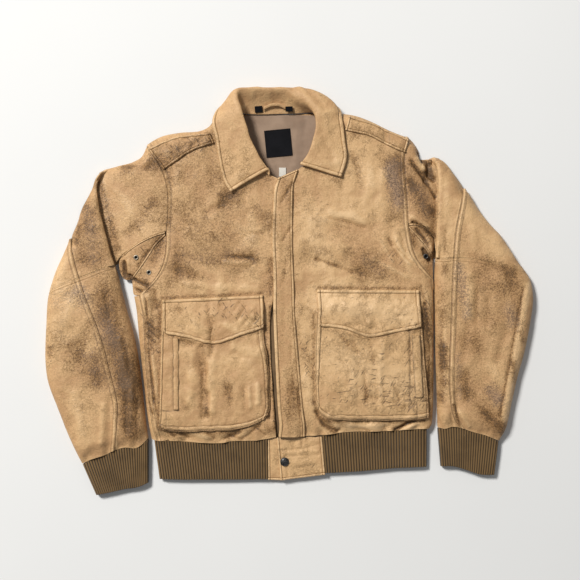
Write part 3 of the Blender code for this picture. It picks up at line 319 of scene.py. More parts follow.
def inset(net, west=EDGE_DRAW, east=EDGE_DRAW, south=EDGE_DRAW, north=EDGE_DRAW):
    """Draws each edge of a net back from the seam that it shares."""
    net = net.copy()
    for edge, inner, gap in (
        (np.s_[:, 0], np.s_[:, 1], west),
        (np.s_[:, -1], np.s_[:, -2], east),
        (np.s_[0], np.s_[1], south),
        (np.s_[-1], np.s_[-2], north),
    ):
        inward = net[inner] - net[edge]
        net[edge] += inward * (gap / np.maximum(norm(inward, axis=1), 1e-6))[:, None]
    return net


def inside(points, outline):
    """Which plan points lie inside the closed outline."""
    x, y = points[:, :1], points[:, 1:]
    (x1, y1), (x2, y2) = outline.T, np.roll(outline, -1, axis=0).T
    with np.errstate(divide="ignore", invalid="ignore"):
        crossed = ((y1 > y) != (y2 > y)) & (x < x1 + (y - y1) * (x2 - x1) / (y2 - y1))
    return crossed.sum(1) % 2 == 1


def joined(line, start, end):
    """The line drawn so that it starts and ends at the two places."""
    share = length_shares(line)[:, None]
    return line + (start - line[0]) * (1 - share) + (end - line[-1]) * share


def beside(line, distance):
    """The line moved sideways, to the left of the way it runs."""
    step = np.gradient(line, axis=0)
    step /= norm(step, axis=1)[:, None]
    return line + np.stack([-step[:, 1], step[:, 0]], axis=1) * distance


def drawn_in(stretches):
    """The outline made by stretches of line, each drawn in by its own gap and cut off at the next ones."""
    raw = np.vstack([line[:-1] for line, _ in stretches])
    turn = np.sign(np.sum(raw[:, 0] * np.roll(raw[:, 1], -1) - np.roll(raw[:, 0], -1) * raw[:, 1]))
    outline = []
    for line, gap in stretches:
        if gap is None:
            outline.append(line)
            continue
        moved = beside(line, gap * turn)
        moved = moved[inside(moved, raw)]
        for other, clear in stretches:
            if other is not line:
                moved = moved[distance(moved, other) > 0.97 * (clear or UNDER_REACH)]
        outline.append(moved)
    outline = np.vstack(outline)
    apart = norm(outline - np.roll(outline, 1, axis=0), axis=1) > 0.5
    return outline[apart]


def level_with(guide, line):
    """Places on the line as high up it, end to end, as the guide's are up the guide."""
    low, high = guide[0][1], guide[-1][1]
    shares = np.maximum.accumulate((guide[:, 1] - low) / (high - low))
    shares = shares * 0.5 + length_shares(guide) * 0.5
    return placed(line, shares)


# Places beside an edge, close enough together for its stitching
EDGE_PLACES = (0, 0.5, 1.0, 1.6, 2.2, 2.8, 3.4, 4.2, 5.2, 6.0, 6.8, 7.6, 8.4, 9.2, 10.4)
STEP = 2.6


def graded(length, step=STEP):
    """Shares of a length, closer together near both its ends."""
    edge = [place for place in EDGE_PLACES if place < length * 0.32]
    middle = length - 2 * edge[-1]
    inner = edge[-1] + np.linspace(0, middle, max(2, round(middle / step) + 1))
    return np.concatenate([edge[:-1], inner, length - np.array(edge[:-1][::-1])]) / length


def line_length(line):
    return norm(np.diff(line, axis=0), axis=1).sum()


def spread(west, east, south, north, step=STEP):
    """The net between four fine edge lines, with places close together at each edge."""
    up = graded((line_length(west) + line_length(east)) / 2, step)
    across = graded((line_length(south) + line_length(north)) / 2, step)
    return coons(placed(west, up), placed(east, up), placed(south, across), placed(north, across))


def smoothly(net, axis, step=STEP):
    """The net set out anew along one axis, on smooth lines through its own places."""
    net = np.moveaxis(net, axis, 0)
    legs = np.maximum(norm(np.diff(net, axis=0), axis=-1).mean(axis=1), 1e-6)
    knots = np.concatenate([[0], np.cumsum(legs)])
    span = legs[:, None, None]
    slopes = np.diff(net, axis=0) / span
    tangent = np.empty_like(net)
    tangent[1:-1] = (slopes[:-1] * span[1:] + slopes[1:] * span[:-1]) / (span[1:] + span[:-1])
    tangent[0], tangent[-1] = slopes[0], slopes[-1]
    at = graded(knots[-1], step) * knots[-1]
    low = np.clip(np.searchsorted(knots, at, "right") - 1, 0, len(legs) - 1)
    t, h = ((at - knots[low]) / legs[low])[:, None, None], span[low]
    made = (
        net[low] * (2 * t**3 - 3 * t**2 + 1)
        + net[low + 1] * (3 * t**2 - 2 * t**3)
        + tangent[low] * h * (t**3 - 2 * t**2 + t)
        + tangent[low + 1] * h * (t**3 - t**2)
    )
    return np.moveaxis(made, 0, axis)


def dense(net, step=STEP):
    return smoothly(smoothly(net, 0, step), 1, step)


def normals(net):
    """Unit directions square to the cloth, upward over most of it."""
    square = np.cross(np.gradient(net, axis=1), np.gradient(net, axis=0))
    square *= np.sign(square[..., 2].sum() + 1e-12)
    return square / np.maximum(norm(square, axis=2), 1e-9)[..., None]


LATTICE = np.random.default_rng(11).random((96, 96)) - 0.5


def ripple(points, size, stretch=(1, 1)):
    """Smooth uneven waves of about the given size, from -1 to 1."""
    place = np.asarray(points)[..., :2] / (np.array(stretch) * size) + 40
    cell = np.floor(place).astype(int)
    share = ease(place - cell)
    x, y = cell[..., 0] % 95, cell[..., 1] % 95
    u, v = share[..., 0], share[..., 1]
    low = LATTICE[x, y] * (1 - u) + LATTICE[x + 1, y] * u
    high = LATTICE[x, y + 1] * (1 - u) + LATTICE[x + 1, y + 1] * u
    return 2 * (low * (1 - v) + high * v)


# ---- the laid surfaces ----

# Smaller creases of the body, and of the sleeves
BODY_CREASES = folds(
    # drawn into the right underarm
    (190, 83, 205, 61, 2.4, 0.8), (196, 84, 225, 52, 2.4, 0.9), (205, 87, 231, 58, 2.4, 0.9),
    (215, 85, 237, 54, 2.2, 0.8), (201, 84, 228, 55, 1.8, -0.5), (210, 86, 234, 56, 1.8, -0.5),
    # left chest, and pulls below the left armhole
    (-71, 111, -50, 110, 3.0, -0.9), (-112, 67, -69, 64, 3.6, -1.2), (-118, 56, -75, 55, 5.0, 0.8),
    (-150, 150, -120, 168, 8.0, -0.7), (-205, 40, -150, 20, 12.0, -0.9), (-195, 15, -80, 8, 9.0, 0.8),
    (-250, 2, -247, -30, 3.6, -0.9), (-262, -5, -259, -44, 3.0, 0.8), (-266, -14, -265, -60, 2.6, -0.8),
    (-262, -58, -247, -72, 2.6, -0.8), (-261, -70, -244, -85, 2.6, -0.9), (-262, -83, -246, -98, 2.6, -0.9),
    (-259, -97, -249, -109, 2.6, -0.7), (-262, -112, -251, -200, 3.2, -1.0),
    (-254, -120, -246, -190, 3.0, 0.8), (-262, -206, -244, -250, 3.0, -0.9),
    (-252, -215, -240, -262, 3.2, 0.7),
    # gathers under the left pocket, and the channel beside it
    (-88, -276, -54, -248, 3.0, -1.0), (-100, -274, -64, -247, 4.0, 1.0),
    (-252, -200, -241, -250, 3.4, -1.2), (-180, -262, -150, -272, 5.0, 1.0),
    (-62, -252, -44, -266, 3.0, -0.8), (-120, -274, -92, -262, 3.4, -0.9),
    (-112, -266, -96, -273, 3.0, -0.9), (-206, -262, -188, -271, 3.2, -1.0),
    (-228, -258, -214, -269, 3.0, -0.9), (-152, -264, -140, -272, 3.0, -0.8),
    (-39, -110, -36, -236, 3.4, -1.0),
    # right chest, with a fan towards the armhole
    (75, 138, 105, 133, 3.2, -1.0), (110, 131, 142, 120, 3.2, -0.9), (51, 62, 88, 49, 3.4, -1.0),
    (93, 47, 118, 37, 3.4, -0.9), (80, 150, 140, 132, 7.0, 0.7), (186, 100, 204, 64, 3.6, -1.1),
    (197, 104, 213, 70, 3.0, 0.8), (208, 108, 219, 76, 3.0, -1.0), (174, 92, 194, 56, 4.0, 0.7),
    (160, 60, 216, 30, 6.0, 0.8), (120, 256, 136, 195, 9.0, -0.8), (146, 250, 158, 200, 9.0, 0.6),
    (40, 130, 120, 146, 8.0, 0.6),
    # slanted lines left of the right pocket, and the folds below it
    (20, -92, 38, -112, 2.2, -0.7), (21, -104, 42, -127, 2.2, -0.8), (24, -118, 45, -141, 2.2, -0.8),
    (27, -132, 47, -153, 2.2, -0.8), (31, -146, 49, -165, 2.2, -0.7), (50, -222, 62, -245, 3.4, -2.2),
    (66, -248, 90, -260, 3.4, -1.8), (60, -232, 92, -252, 4.0, 1.3), (199, -259, 232, -241, 3.4, -2.0),
    (208, -262, 240, -246, 4.0, 1.4), (120, -252, 170, -252, 6.0, 1.0), (76, -228, 112, -248, 4.0, 1.1),
    (62, -246, 84, -262, 3.6, -0.9), (150, -249, 182, -246, 4.2, 0.9), (198, -257, 222, -243, 3.2, -1.2),
    (222, -243, 252, -240, 3.0, -0.8), (120, -254, 150, -258, 3.2, -0.8),
    # crinkles outside the right pocket
    (246, 12, 256, -22, 3.2, -0.9), (252, -20, 262, -70, 2.6, -0.9), (258, -8, 267, -60, 2.4, 0.7),
    (256, -60, 264, -112, 2.6, -0.8), (262, -120, 262, -190, 2.6, -0.7),
)
SLEEVE_CREASES = folds(
    # the back seam shows at the right sleeve's outer side
    (437, 8, 394, -230, 2.6, -0.8), (445, 10, 402, -235, 6.0, 0.7),
    # left sleeve
    (-331, -14, -324, -56, 5.0, 0.9), (-341, -8, -337, -50, 4.0, -0.9), (-316, -90, -304, -152, 5.0, 1.0),
    (-309, -86, -297, -140, 4.0, -0.9), (-292, -176, -294, -242, 5.0, 1.1),
    (-303, -190, -303, -262, 4.0, -1.2), (-283, -200, -284, -262, 3.6, -0.9),
    (-326, -232, -322, -288, 4.0, 1.0), (-345, -210, -350, -280, 5.0, 1.2),
    (-407, -118, -393, -136, 3.0, 0.7), (-453, -98, -441, -112, 2.8, -0.8),
    (-454, -111, -443, -124, 2.8, -0.8), (-398, -6, -420, -60, 10.0, 1.0),
    (-372, -60, -392, -130, 9.0, -0.9), (-360, -130, -352, -172, 6.0, -1.0),
    (-400, -190, -384, -262, 9.0, 0.9), (-424, -190, -400, -270, 8.0, -0.8),
    (-391, 120, -398, 92, 5.0, -0.8),
    # right sleeve
    (350, 4, 349, -56, 5.0, -1.1), (338, 30, 336, -50, 9.0, 1.0), (334, -54, 319, -166, 7.0, -1.0),
    (372, -10, 369, -60, 6.0, -0.8), (400, 30, 414, -30, 8.0, 0.9), (404, -70, 386, -130, 8.0, -0.9),
    (332, -150, 330, -200, 7.0, -1.1), (356, -190, 386, -216, 6.0, 0.9), (352, -212, 394, -252, 5.0, -1.2),
    (317, -222, 336, -250, 4.0, 1.2), (302, -226, 306, -250, 3.4, -1.2), (286, -40, 284, -150, 4.0, -0.7),
    (292, 120, 290, 70, 4.0, -0.8), (345, 170, 372, 118, 9.0, -0.8), (340, 120, 344, 80, 8.0, 0.7),
)
# The caps beside the armholes, where the right one is drawn into deep folds
CAP_CREASES = folds(
    (229, 246, 256, 208, 4.0, -3.6), (256, 208, 276, 178, 4.4, -3.4), (240, 250, 266, 208, 5.0, 2.6),
    (262, 246, 263, 218, 4.6, -7.5), (254, 224, 270, 210, 4.6, -5.5), (244, 264, 250, 244, 3.6, -3.4),
    (266, 196, 274, 186, 5.0, 2.4), (226, 206, 250, 168, 7.0, -1.8), (236, 186, 262, 150, 7.0, 1.8),
    (232, 130, 264, 106, 4.4, -4.6), (230, 140, 258, 122, 6.0, 2.2), (-312, 236, -262, 232, 6.0, -1.4),
    (-300, 214, -262, 250, 8.0, 1.2), (-252, 170, -300, 110, 12.0, -1.2), (-320, 190, -292, 150, 10.0, 1.2),
)
GUSSET_CREASES = folds(
    (-309, 56, -307, 30, 3.4, -5.2), (-301, 58, -300, 38, 3.4, 1.6), (-299, 31, -291, 25, 3.2, -5.0),
    (-288, 22, -262, 10, 3.4, -2.6), (-284, 13, -258, 3, 3.0, 2.0), (-292, 8, -266, -3, 3.0, -2.2),
    (-284, 48, -262, 78, 4.0, -1.2), (252, 80, 263, 60, 4.0, -5.2), (238, 118, 262, 90, 3.6, -3.0),
    (260, 98, 270, 74, 3.4, 2.2),
)

# How deep the creases of each part are drawn
CREASE_DEPTHS = {
    "body": 1.9, "sleeve": 1.7, "tab": 2.2, "storm_flap": 1.6,
    "pocket": 2.2, "pocket_flap": 1.9, "collar": 1.5, "lining": 1.5,
}

BODY_PRESSED = ("shoulder_left", "shoulder_right")
BODY_CURLED = ("side_fold_left", "side_fold_right")


def domed(points, crown, pressed, curled_names, reach):
    """Crown height inward of the folded edges, rounding down to each."""
    near_pressed = away(points, *pressed)
    near_curled = away(points, *curled_names)
    weight = 1 / (near_pressed + 1) ** 2
    other = 1 / (near_curled + 1) ** 2
    base = (PRESSED_Z * weight + FOLD_Z * other) / (weight + other)
    return base + (crown - base) * rise(near_pressed, reach) * rise(near_curled, reach)


def body_crown(points):
    crown = BODY_Z + folded(points, BODY_FOLDS)
    for side in SIDES:
        from_armhole = away(points, "armhole_top_" + side, "armhole_low_" + side)
        crown = crown - 2.5 * np.exp(-((from_armhole / 9) ** 2))
    from_hem = away(points, "hem_left", "hem_right", "strip_hem_left")
    gathers = 3.8 * ripple(points, 12, (1, 2.2)) * np.exp(-((from_hem / 18) ** 2))
    return HEM_Z + (crown - HEM_Z) * ease(from_hem / 26) + gathers


def body_plain(points):
    """The body's upper face with its large folds only."""
    points = np.asarray(points, float)
    return domed(points, body_crown(points), BODY_PRESSED, BODY_CURLED, ROLL_REACH)


def body_creases(points):
    small = 1.1 * ripple(points, 34) + 0.85 * ripple(points, 16, (1, 1.7)) + 0.4 * ripple(points, 7.5)
    return CREASE_DEPTHS["body"] * folded(np.asarray(points, float), BODY_CREASES) + small


def body_top(points):
    return body_plain(points) + body_creases(points)


def sleeve_creases(points):
    small = 0.8 * ripple(points, 30) + 0.5 * ripple(points, 14) + 0.22 * ripple(points, 7)
    return CREASE_DEPTHS["sleeve"] * folded(points, SLEEVE_CREASES) + small


def sleeve_plain(points, side):
    points = np.asarray(points, float)
    crown = SLEEVE_Z + folded(points, SLEEVE_FOLDS)
    from_cuff = away(points, "cuff_inner_" + side, "cuff_outer_" + side)
    gathers = 2.6 * ripple(points, 10, (1, 2.4)) * np.exp(-((from_cuff / 15) ** 2))
    crown = HEM_Z + (crown - HEM_Z) * ease(from_cuff / 28) + gathers
    curled_names = ("outer_fold_" + side, "lower_fold_" + side, "inner_fold_" + side)
    return domed(points, crown, ("cap_fold_" + side, "top_fold_" + side), curled_names, ROLL_REACH)


def sleeve_top(points, side):
    """The sleeve's upper face outward of its ridge."""
    return sleeve_plain(points, side) + sleeve_creases(points)


def on(surface, net, lift):
    """The net laid on a surface, moved out from it by the lift."""
    laid = lifted(net, surface(net))
    return laid + normals(laid) * (lift if np.isscalar(lift) else lift[..., None])


CURL_REACH = 6.0
UNDER_REACH = CURL_REACH
UNDER_INSET = 9.0


def curled(net, edge):
    """Adds the columns that take a folded edge round and under, to lie on the floor."""
    outer, inner = (net[:, 0], net[:, 3]) if edge == "west" else (net[:, -1], net[:, -4])
    inward = (inner - outer)[:, :2]
    inward /= norm(inward, axis=1)[:, None]
    turns = np.radians((12, 24, 36, 48, 60, 72, 81, 90))
    stack = np.repeat(outer[:, None], len(turns), axis=1)
    stack[..., :2] += inward[:, None] * (CURL_REACH * (1 - np.cos(turns)))[None, :, None]
    stack[..., 2] = FLOOR_Z + (outer[:, None, 2] - FLOOR_Z) * (1 - np.sin(turns))
    return np.hstack([stack[:, ::-1], net]) if edge == "west" else np.hstack([net, stack])


# ---- wear, and painted light and shade ----

# Dark leather from handling, with painted shade in deep folds, gaps, round the pockets and under flaps
WORN_AND_SHADE = folds(
    # broad zones
    (-388, 172, -350, 60, 26, 0.42), (-406, 116, -380, 60, 16, 0.42), (-342, -10, -300, -170, 26, 0.62),
    (-302, -170, -298, -262, 20, 0.6), (-112, 280, -112, 225, 30, 0.2), (-410, 20, -385, -210, 52, 0.15),
    (-305, 210, -280, 130, 46, 0.14), (-210, 150, -70, 90, 60, 0.14), (-400, -110, -350, -160, 24, 0.3),
    (-205, 124, -80, 104, 40, 0.2), (-210, 60, -70, 60, 16, 0.2), (-212, 218, -120, 205, 26, 0.26),
    (-110, 178, -50, 150, 18, 0.22), (-300, 215, -250, 150, 26, 0.16), (-262, 4, -256, -220, 9, 0.3),
    # thin dark lines round the outside of both pockets: dirt, with painted shade where each pocket stands off
    # the front
    (-238, -252, -40, -262, 8, 0.22), (-241, -20, -243, -252, 4, 0.6), (-243, -256, -200, -262, 4, 0.55),
    (-200, -262, -100, -260, 4, 0.55), (-100, -260, -52, -246, 4, 0.55), (-44, -60, -40, -235, 4, 0.6),
    (-236, -11, -50, -2, 3.4, 0.6), (46, -40, 46, -205, 4, 0.55), (46, -205, 62, -236, 4, 0.55),
    (62, -240, 255, -241, 4, 0.6), (54, 8, 242, 7, 3.4, 0.6), (250, -40, 262, -230, 6, 0.6),
    # painted shadows under the lower edges of both pocket flaps and under the points of the collar
    (-236, -80, -145, -101, 4, 0.35), (-140, -101, -50, -72, 4, 0.35), (60, -66, 150, -88, 4, 0.35),
    (150, -88, 243, -69, 4, 0.35), (-130, 180, -108, 180, 6, 0.5), (-108, 180, -40, 212, 6, 0.45),
    (30, 232, 95, 208, 6, 0.3), (330, -20, 400, -40, 40, 0.16), (410, 26, 434, -60, 20, 0.38),
    (330, -180, 400, -240, 30, 0.3), (284, 10, 286, -200, 9, 0.4), (340, 70, 420, 40, 10, 0.3),
    (196, 250, 206, 160, 22, 0.25), (120, 70, 210, 30, 24, 0.28), (30, 190, 60, 130, 22, 0.16),
    (228, 240, 262, 120, 18, 0.3),
    # smudges, creases and places dark from handling, with painted shade in the deepest folds and gaps
    # darkest along the right cap's deep folds, from dirt and painted shade
    (257, 242, 267, 213, 6, 1.3), (246, 262, 250, 250, 5, 0.6), (228, 238, 256, 206, 3, 0.7),
    (256, 206, 276, 178, 3, 0.7), (-250, 248, -150, 287, 21, 0.59), (-162, 248, -136, 250, 21, 0.21),
    (-220, 215, -192, 224, 29, 0.22), (-114, 172, -100, 176, 21, 0.29), (-194, 122, -130, 114, 34, 0.18),
    (-120, 65, -68, 66, 14, 0.35), (-212, 72, -194, 32, 26, 0.29), (-53, 150, -34, 128, 16, 0.34),
    (-34, 60, -34, 0, 8, 0.55), (-306, 229, -240, 238, 12, 0.32), (-317, 170, -318, 150, 17, 0.15),
    # the first is dark leather with a painted shadow in the left sleeve's pleat
    (-352, 202, -322, 82, 8, 0.7), (-378, 158, -370, 120, 20, 0.32), (-372, 58, -352, 70, 18, 0.24),
    # darkest in the left gusset's two deep folds, here and on the next line, from dirt and painted shade
    (-349, 16, -333, -18, 21, 0.29), (-310, 54, -307, 28, 5, 1), (-254, 60, -240, 98, 8, 0.62),
    (-274, 20, -262, 12, 12, 0.52), (-298, 28, -293, 25, 4, 1.2), (-346, -45, -330, -78, 20, 0.49),
    (-317, -103, -302, -134, 21, 0.43), (-298, -140, -286, -206, 22, 0.59),
    (-291, -247, -288, -262, 17, 0.52), (-310, -222, -306, -240, 13, 0.35),
    (-355, -128, -350, -166, 18, 0.29), (-376, -150, -368, -158, 18, 0.25),
    (-408, -104, -398, -110, 21, 0.18), (-448, -104, -444, -116, 7, 0.45),
    (-259, -68, -262, -104, 13, 0.49), (-149, -60, -143, -84, 7, 0.4), (-216, -26, -206, -40, 13, 0.21),
    (-162, -136, -158, -208, 14, 0.2), (-115, -184, -112, -190, 16, 0.35), (-153, -218, -152, -228, 7, 0.4),
    (-184, -130, -180, -134, 13, 0.22), (-196, -214, -192, -218, 8, 0.36),
    (-222, -264, -210, -266, 7, 0.45), (-104, -270, -96, -270, 6, 0.36), (-42, -250, -36, -256, 6, 0.5),
    # the first is the gap left of the storm flap, dark with dirt and painted shade
    (-34, -28, -25, -256, 4, 1.1), (0, -180, 0, -236, 14, 0.29), (-6, 205, 2, 160, 8, 0.4),
    (124, 308, 170, 294, 14, 0.29), (194, 280, 206, 274, 8, 0.3), (206, 250, 210, 232, 12, 0.52),
    (200, 236, 206, 172, 18, 0.35), (240, 182, 258, 156, 20, 0.59), (228, 210, 232, 196, 12, 0.42),
    # more of the right cap's and gusset's deep folds, from dirt and painted shade, and painted shade round
    # the right eyelet
    (266, 156, 270, 150, 8, 0.7), (243, 256, 245, 248, 5, 0.6), (264, 226, 268, 216, 5, 0.7),
    (237, 131, 270, 105, 5, 0.95), (234, 104, 232, 94, 7, 0.7), (256, 70, 262, 64, 6, 1.3),
    (290, 46, 290, 40, 8, 0.6), (324, 110, 324, 100, 12, 0.28), (97, 121, 117, 108, 17, 0.28),
    (142, 66, 170, 38, 23, 0.39), (127, 44, 132, 38, 13, 0.34), (170, 108, 178, 98, 21, 0.18),
    (350, 54, 400, 44, 12, 0.35), (360, 30, 364, 20, 20, 0.43), (414, 30, 420, 18, 17, 0.43),
    (388, 10, 394, 0, 14, 0.32), (344, -86, 350, -104, 14, 0.52), (316, -86, 320, -94, 12, 0.35),
    (327, -164, 334, -196, 14, 0.36), (377, -190, 384, -196, 20, 0.21), (366, -230, 395, -256, 14, 0.7),
    (417, -132, 421, -166, 7, 0.6), (431, -76, 437, -92, 6, 0.5), (436, 8, 392, -230, 3, 0.55),
    (350, -10, 372, -150, 56, 0.2), (378, -50, 382, -56, 16, 0.21), (287, -100, 289, -138, 8, 0.9),
    (284, -192, 284, -204, 7, 0.5), (290, -162, 291, -170, 7, 0.4), (307, -210, 318, -248, 4, 0.95),
    (254, -26, 262, -80, 8, 0.95), (264, -134, 264, -182, 7, 0.48), (143, -176, 143, -200, 5, 0.4),
    (115, -184, 115, -188, 4, 0.42), (20, -24, 22, -40, 7, 0.32), (8, -184, 13, -212, 12, 0.28),
    (64, -232, 92, -256, 4, 0.5), (-60, 320, 40, 322, 16, 0.14),
)
# Leather gone grey and dull
GREYED = folds(
    (196, 236, 203, 168, 17, 0.95), (184, 226, 190, 200, 10, 0.4), (244, 190, 262, 150, 16, 0.6),
    (-430, -12, -400, -8, 24, 0.42), (-386, 4, -380, -20, 16, 0.55), (-350, -50, -340, -80, 20, 0.5),
    (-330, -70, -300, -190, 16, 0.45), (-372, -120, -352, -160, 24, 0.42), (-372, 150, -362, 60, 16, 0.45),
    (317, 46, 330, -44, 13, 0.75), (410, -30, 418, -60, 16, 0.6), (377, -186, 390, -200, 17, 0.85),
    (316, -118, 317, -196, 8, 0.55), (254, 96, 262, 76, 9, 0.5), (142, 62, 168, 40, 16, 0.4),
    (-196, 60, -120, 70, 24, 0.3), (-250, 252, -160, 282, 14, 0.35),
)
# Pale leather from rubbing, and painted light on the right chest, pocket and flap, where the key light falls
# off
RUBBED_AND_LIT = folds(
    (240, 252, 262, 208, 3.4, 0.7), (272, 232, 273, 214, 3, 0.5), (-320, 150, -250, 130, 34, 0.35),
    (-350, 222, -338, 120, 5, 0.6), (-104, 200, -110, 190, 14, 0.3), (-70, 140, -66, 20, 12, 0.35),
    (-100, 120, -62, 96, 12, 0.3), (-90, -60, -70, -60, 20, 0.35), (-200, -60, -180, -62, 18, 0.3),
    (-70, -130, -64, -210, 14, 0.3), (-130, -130, -80, -120, 18, 0.3), (-430, 40, -418, 60, 12, 0.45),
    # painted light: the wide patches over the right chest, the right pocket and its flap, on this line and
    # below
    (-430, -60, -420, -90, 18, 0.5), (-400, -200, -380, -270, 22, 0.35), (40, 150, 60, 60, 30, 0.6),
    (100, 240, 150, 220, 30, 0.5), (110, 160, 160, 150, 26, 0.4), (-430, 10, -400, -20, 26, 0.5),
    (-390, -90, -370, -110, 16, 0.4), (40, 0, 110, 12, 18, 0.35), (70, -20, 220, -40, 30, 0.9),
    (80, -120, 220, -170, 44, 0.7), (100, -250, 240, -248, 10, 0.5), (290, 200, 300, 110, 10, 0.45),
    (340, 150, 400, 80, 24, 0.5), (446, 12, 402, -236, 7, 1.0), (290, -60, 292, -190, 4, 0.5),
    (377, -138, 394, -165, 13, 0.55), (340, 10, 336, -40, 10, 0.4), (215, 100, 226, 30, 9, 0.4),
    (30, -150, 40, -230, 10, 0.35), (80, 320, 82, 230, 26, 0.12), (-24, 200, -27, -200, 3.2, 0.75),
)
# Leather nicked across, and leather scored aslant
CRACKED = folds(
    (80, -100, 220, -100, 40, 0.45), (100, -180, 225, -190, 40, 0.8), (170, -200, 228, -205, 22, 0.5),
    (190, -50, 230, -60, 18, 0.55), (90, -8, 230, -10, 12, 0.4), (-110, -240, -60, -240, 10, 0.3),
    (60, 180, 70, 150, 12, 0.4), (-440, -90, -448, -130, 10, 0.7), (-395, -110, -395, -140, 14, 0.5),
    (286, -90, 289, -150, 8, 0.6), (150, 60, 170, 40, 16, 0.5), (20, -300, 50, -320, 20, 0.3),
)
SCORED = folds(
    (-130, -25, -60, -50, 20, 0.95), (-210, -30, -150, -50, 22, 0.5), (24, -90, 42, -165, 13, 0.9),
    (254, 0, 262, -100, 11, 1.0), (-262, -40, -250, -120, 14, 0.9), (-240, 250, -150, 284, 18, 1.0),
    (-372, 150, -362, 50, 18, 0.6), (-330, -60, -296, -240, 16, 0.5), (180, 100, 215, 40, 16, 0.6),
    (240, 190, 262, 110, 14, 0.5),
)


MARKS = ("worn", "greyed", "rubbed_and_lit", "cracked", "scored", "seam")


def wear(points):
    """The marks at each plan place: wear and painted shade, grey, rubbing and painted light, cracks."""
    points = np.asarray(points)[..., :2]
    relief = folded(points, BODY_CREASES) + folded(points, SLEEVE_CREASES)
    # darker in the hollows of the creases, from dirt and painted shade; paler on their crests, where the
    # leather rubs
    hollow, proud = np.clip(-relief - 0.2, 0, 1.5), np.clip(relief - 0.2, 0, 1.5)
    return {
        "worn": np.clip(folded(points, WORN_AND_SHADE) + 0.26 * hollow, 0, 1.4),
        "greyed": np.clip(folded(points, GREYED), 0, 1),
        "rubbed_and_lit": np.clip(folded(points, RUBBED_AND_LIT) + 0.4 * proud, 0, 1),
        "cracked": np.clip(folded(points, CRACKED), 0, 1),
        "scored": np.clip(folded(points, SCORED), 0, 1),
    }


# ---- edges and seams ----

# Rows of stitches beside each kind of edge, in from it
STITCH_ROWS = {
    "seam": (),
    "turned": (),
    "stitched": (3.2,),
    "piped": (5.6,),
    "band": (1.8, 6.6),
    "double": (2.2, 8.2),
    "border": (2.6, 9.2),
    "elbow": (2.2, 7.0),
}


def bell(value, width):
    return np.exp(-((value / width) ** 2))


def raised(value, low, high, soft=0.8):
    """1 between two places, falling softly to 0 outside them."""
    return ease((value - low) / soft + 0.5) * ease((high - value) / soft + 0.5)


def edge_profile(value, kind):
    """Height, dark line and rubbed line across an edge, by how far in from it."""
    if kind == "seam":
        return -0.45 * bell(value, 0.9), 0.9 * bell(value, 1.1), 0.25 * bell(value - 2.2, 1.4)
    if kind == "turned":
        return -0.45 * bell(value, 0.8), 0 * value, 0.5 * bell(value, 1.8)
    height = -0.45 * bell(value, 0.7)
    rows = STITCH_ROWS[kind]
    for row in rows:
        height = height - 1.1 * bell(value - row, 0.9)
    dark = sum(0.85 * bell(value - row, 0.85) for row in rows)
    if kind == "stitched":
        return height + 1.1 * raised(value, 0.4, 2.9, 1.0), dark, 0.7 * bell(value - 1.4, 1.2)
    if kind == "piped":
        return height + 1.3 * raised(value, 0.4, 5.2, 1.4), dark, 0.6 * bell(value - 2.6, 2.2)
    if kind == "band":
        # the line at 8.7, just past the raised lap, is a painted shadow; the one on the edge is the seam's
        # own
        dark = 0.9 * bell(value, 0.8) + 0.75 * bell(value - 8.7, 0.9) + 0.35 * dark
        return height + 1.3 * raised(value, 0.6, 7.9, 1.4), dark, 0.5 * raised(value, 2, 7)
    if kind == "border":
        dark = dark + 0.8 * bell(value, 0.9)
        return height + 1.4 * raised(value, 0.4, 9.0, 1.2), dark, 0.6 * raised(value, 3, 8)
    if kind == "elbow":
        return height * 0.6, 0.35 * dark, 0.4 * bell(value - 1, 1.2)
    return height, dark, 0.3 * raised(value, 2.6, 7.6)


def edge_distances(net):
    """How far each place lies from the four edges, measured along the cloth."""
    across = norm(np.diff(net, axis=1), axis=2)
    across = np.hstack([np.zeros((len(net), 1)), np.cumsum(across, axis=1)])
    along = norm(np.diff(net, axis=0), axis=2)
    along = np.vstack([np.zeros((1, net.shape[1])), np.cumsum(along, axis=0)])
    return {
        "west": across,
        "east": across[:, -1:] - across,
        "south": along,
        "north": along[-1:] - along,
    }


# One edge of a piece: which, its kind of sewing, and where along it that holds
Edge = namedtuple("Edge", "side kind share", defaults=(None,))
SEWN = {}


def all_round(kind):
    return [Edge(side, kind) for side in ("west", "east", "south", "north")]


# The least height of a row of stitches
CLEAR_OF_FLOOR = 0.6


def more(marks, name, amount, most=1):
    """Adds to one of the marks of wear, up to a most."""
    marks[name] = np.clip(marks[name] + amount, 0, most)


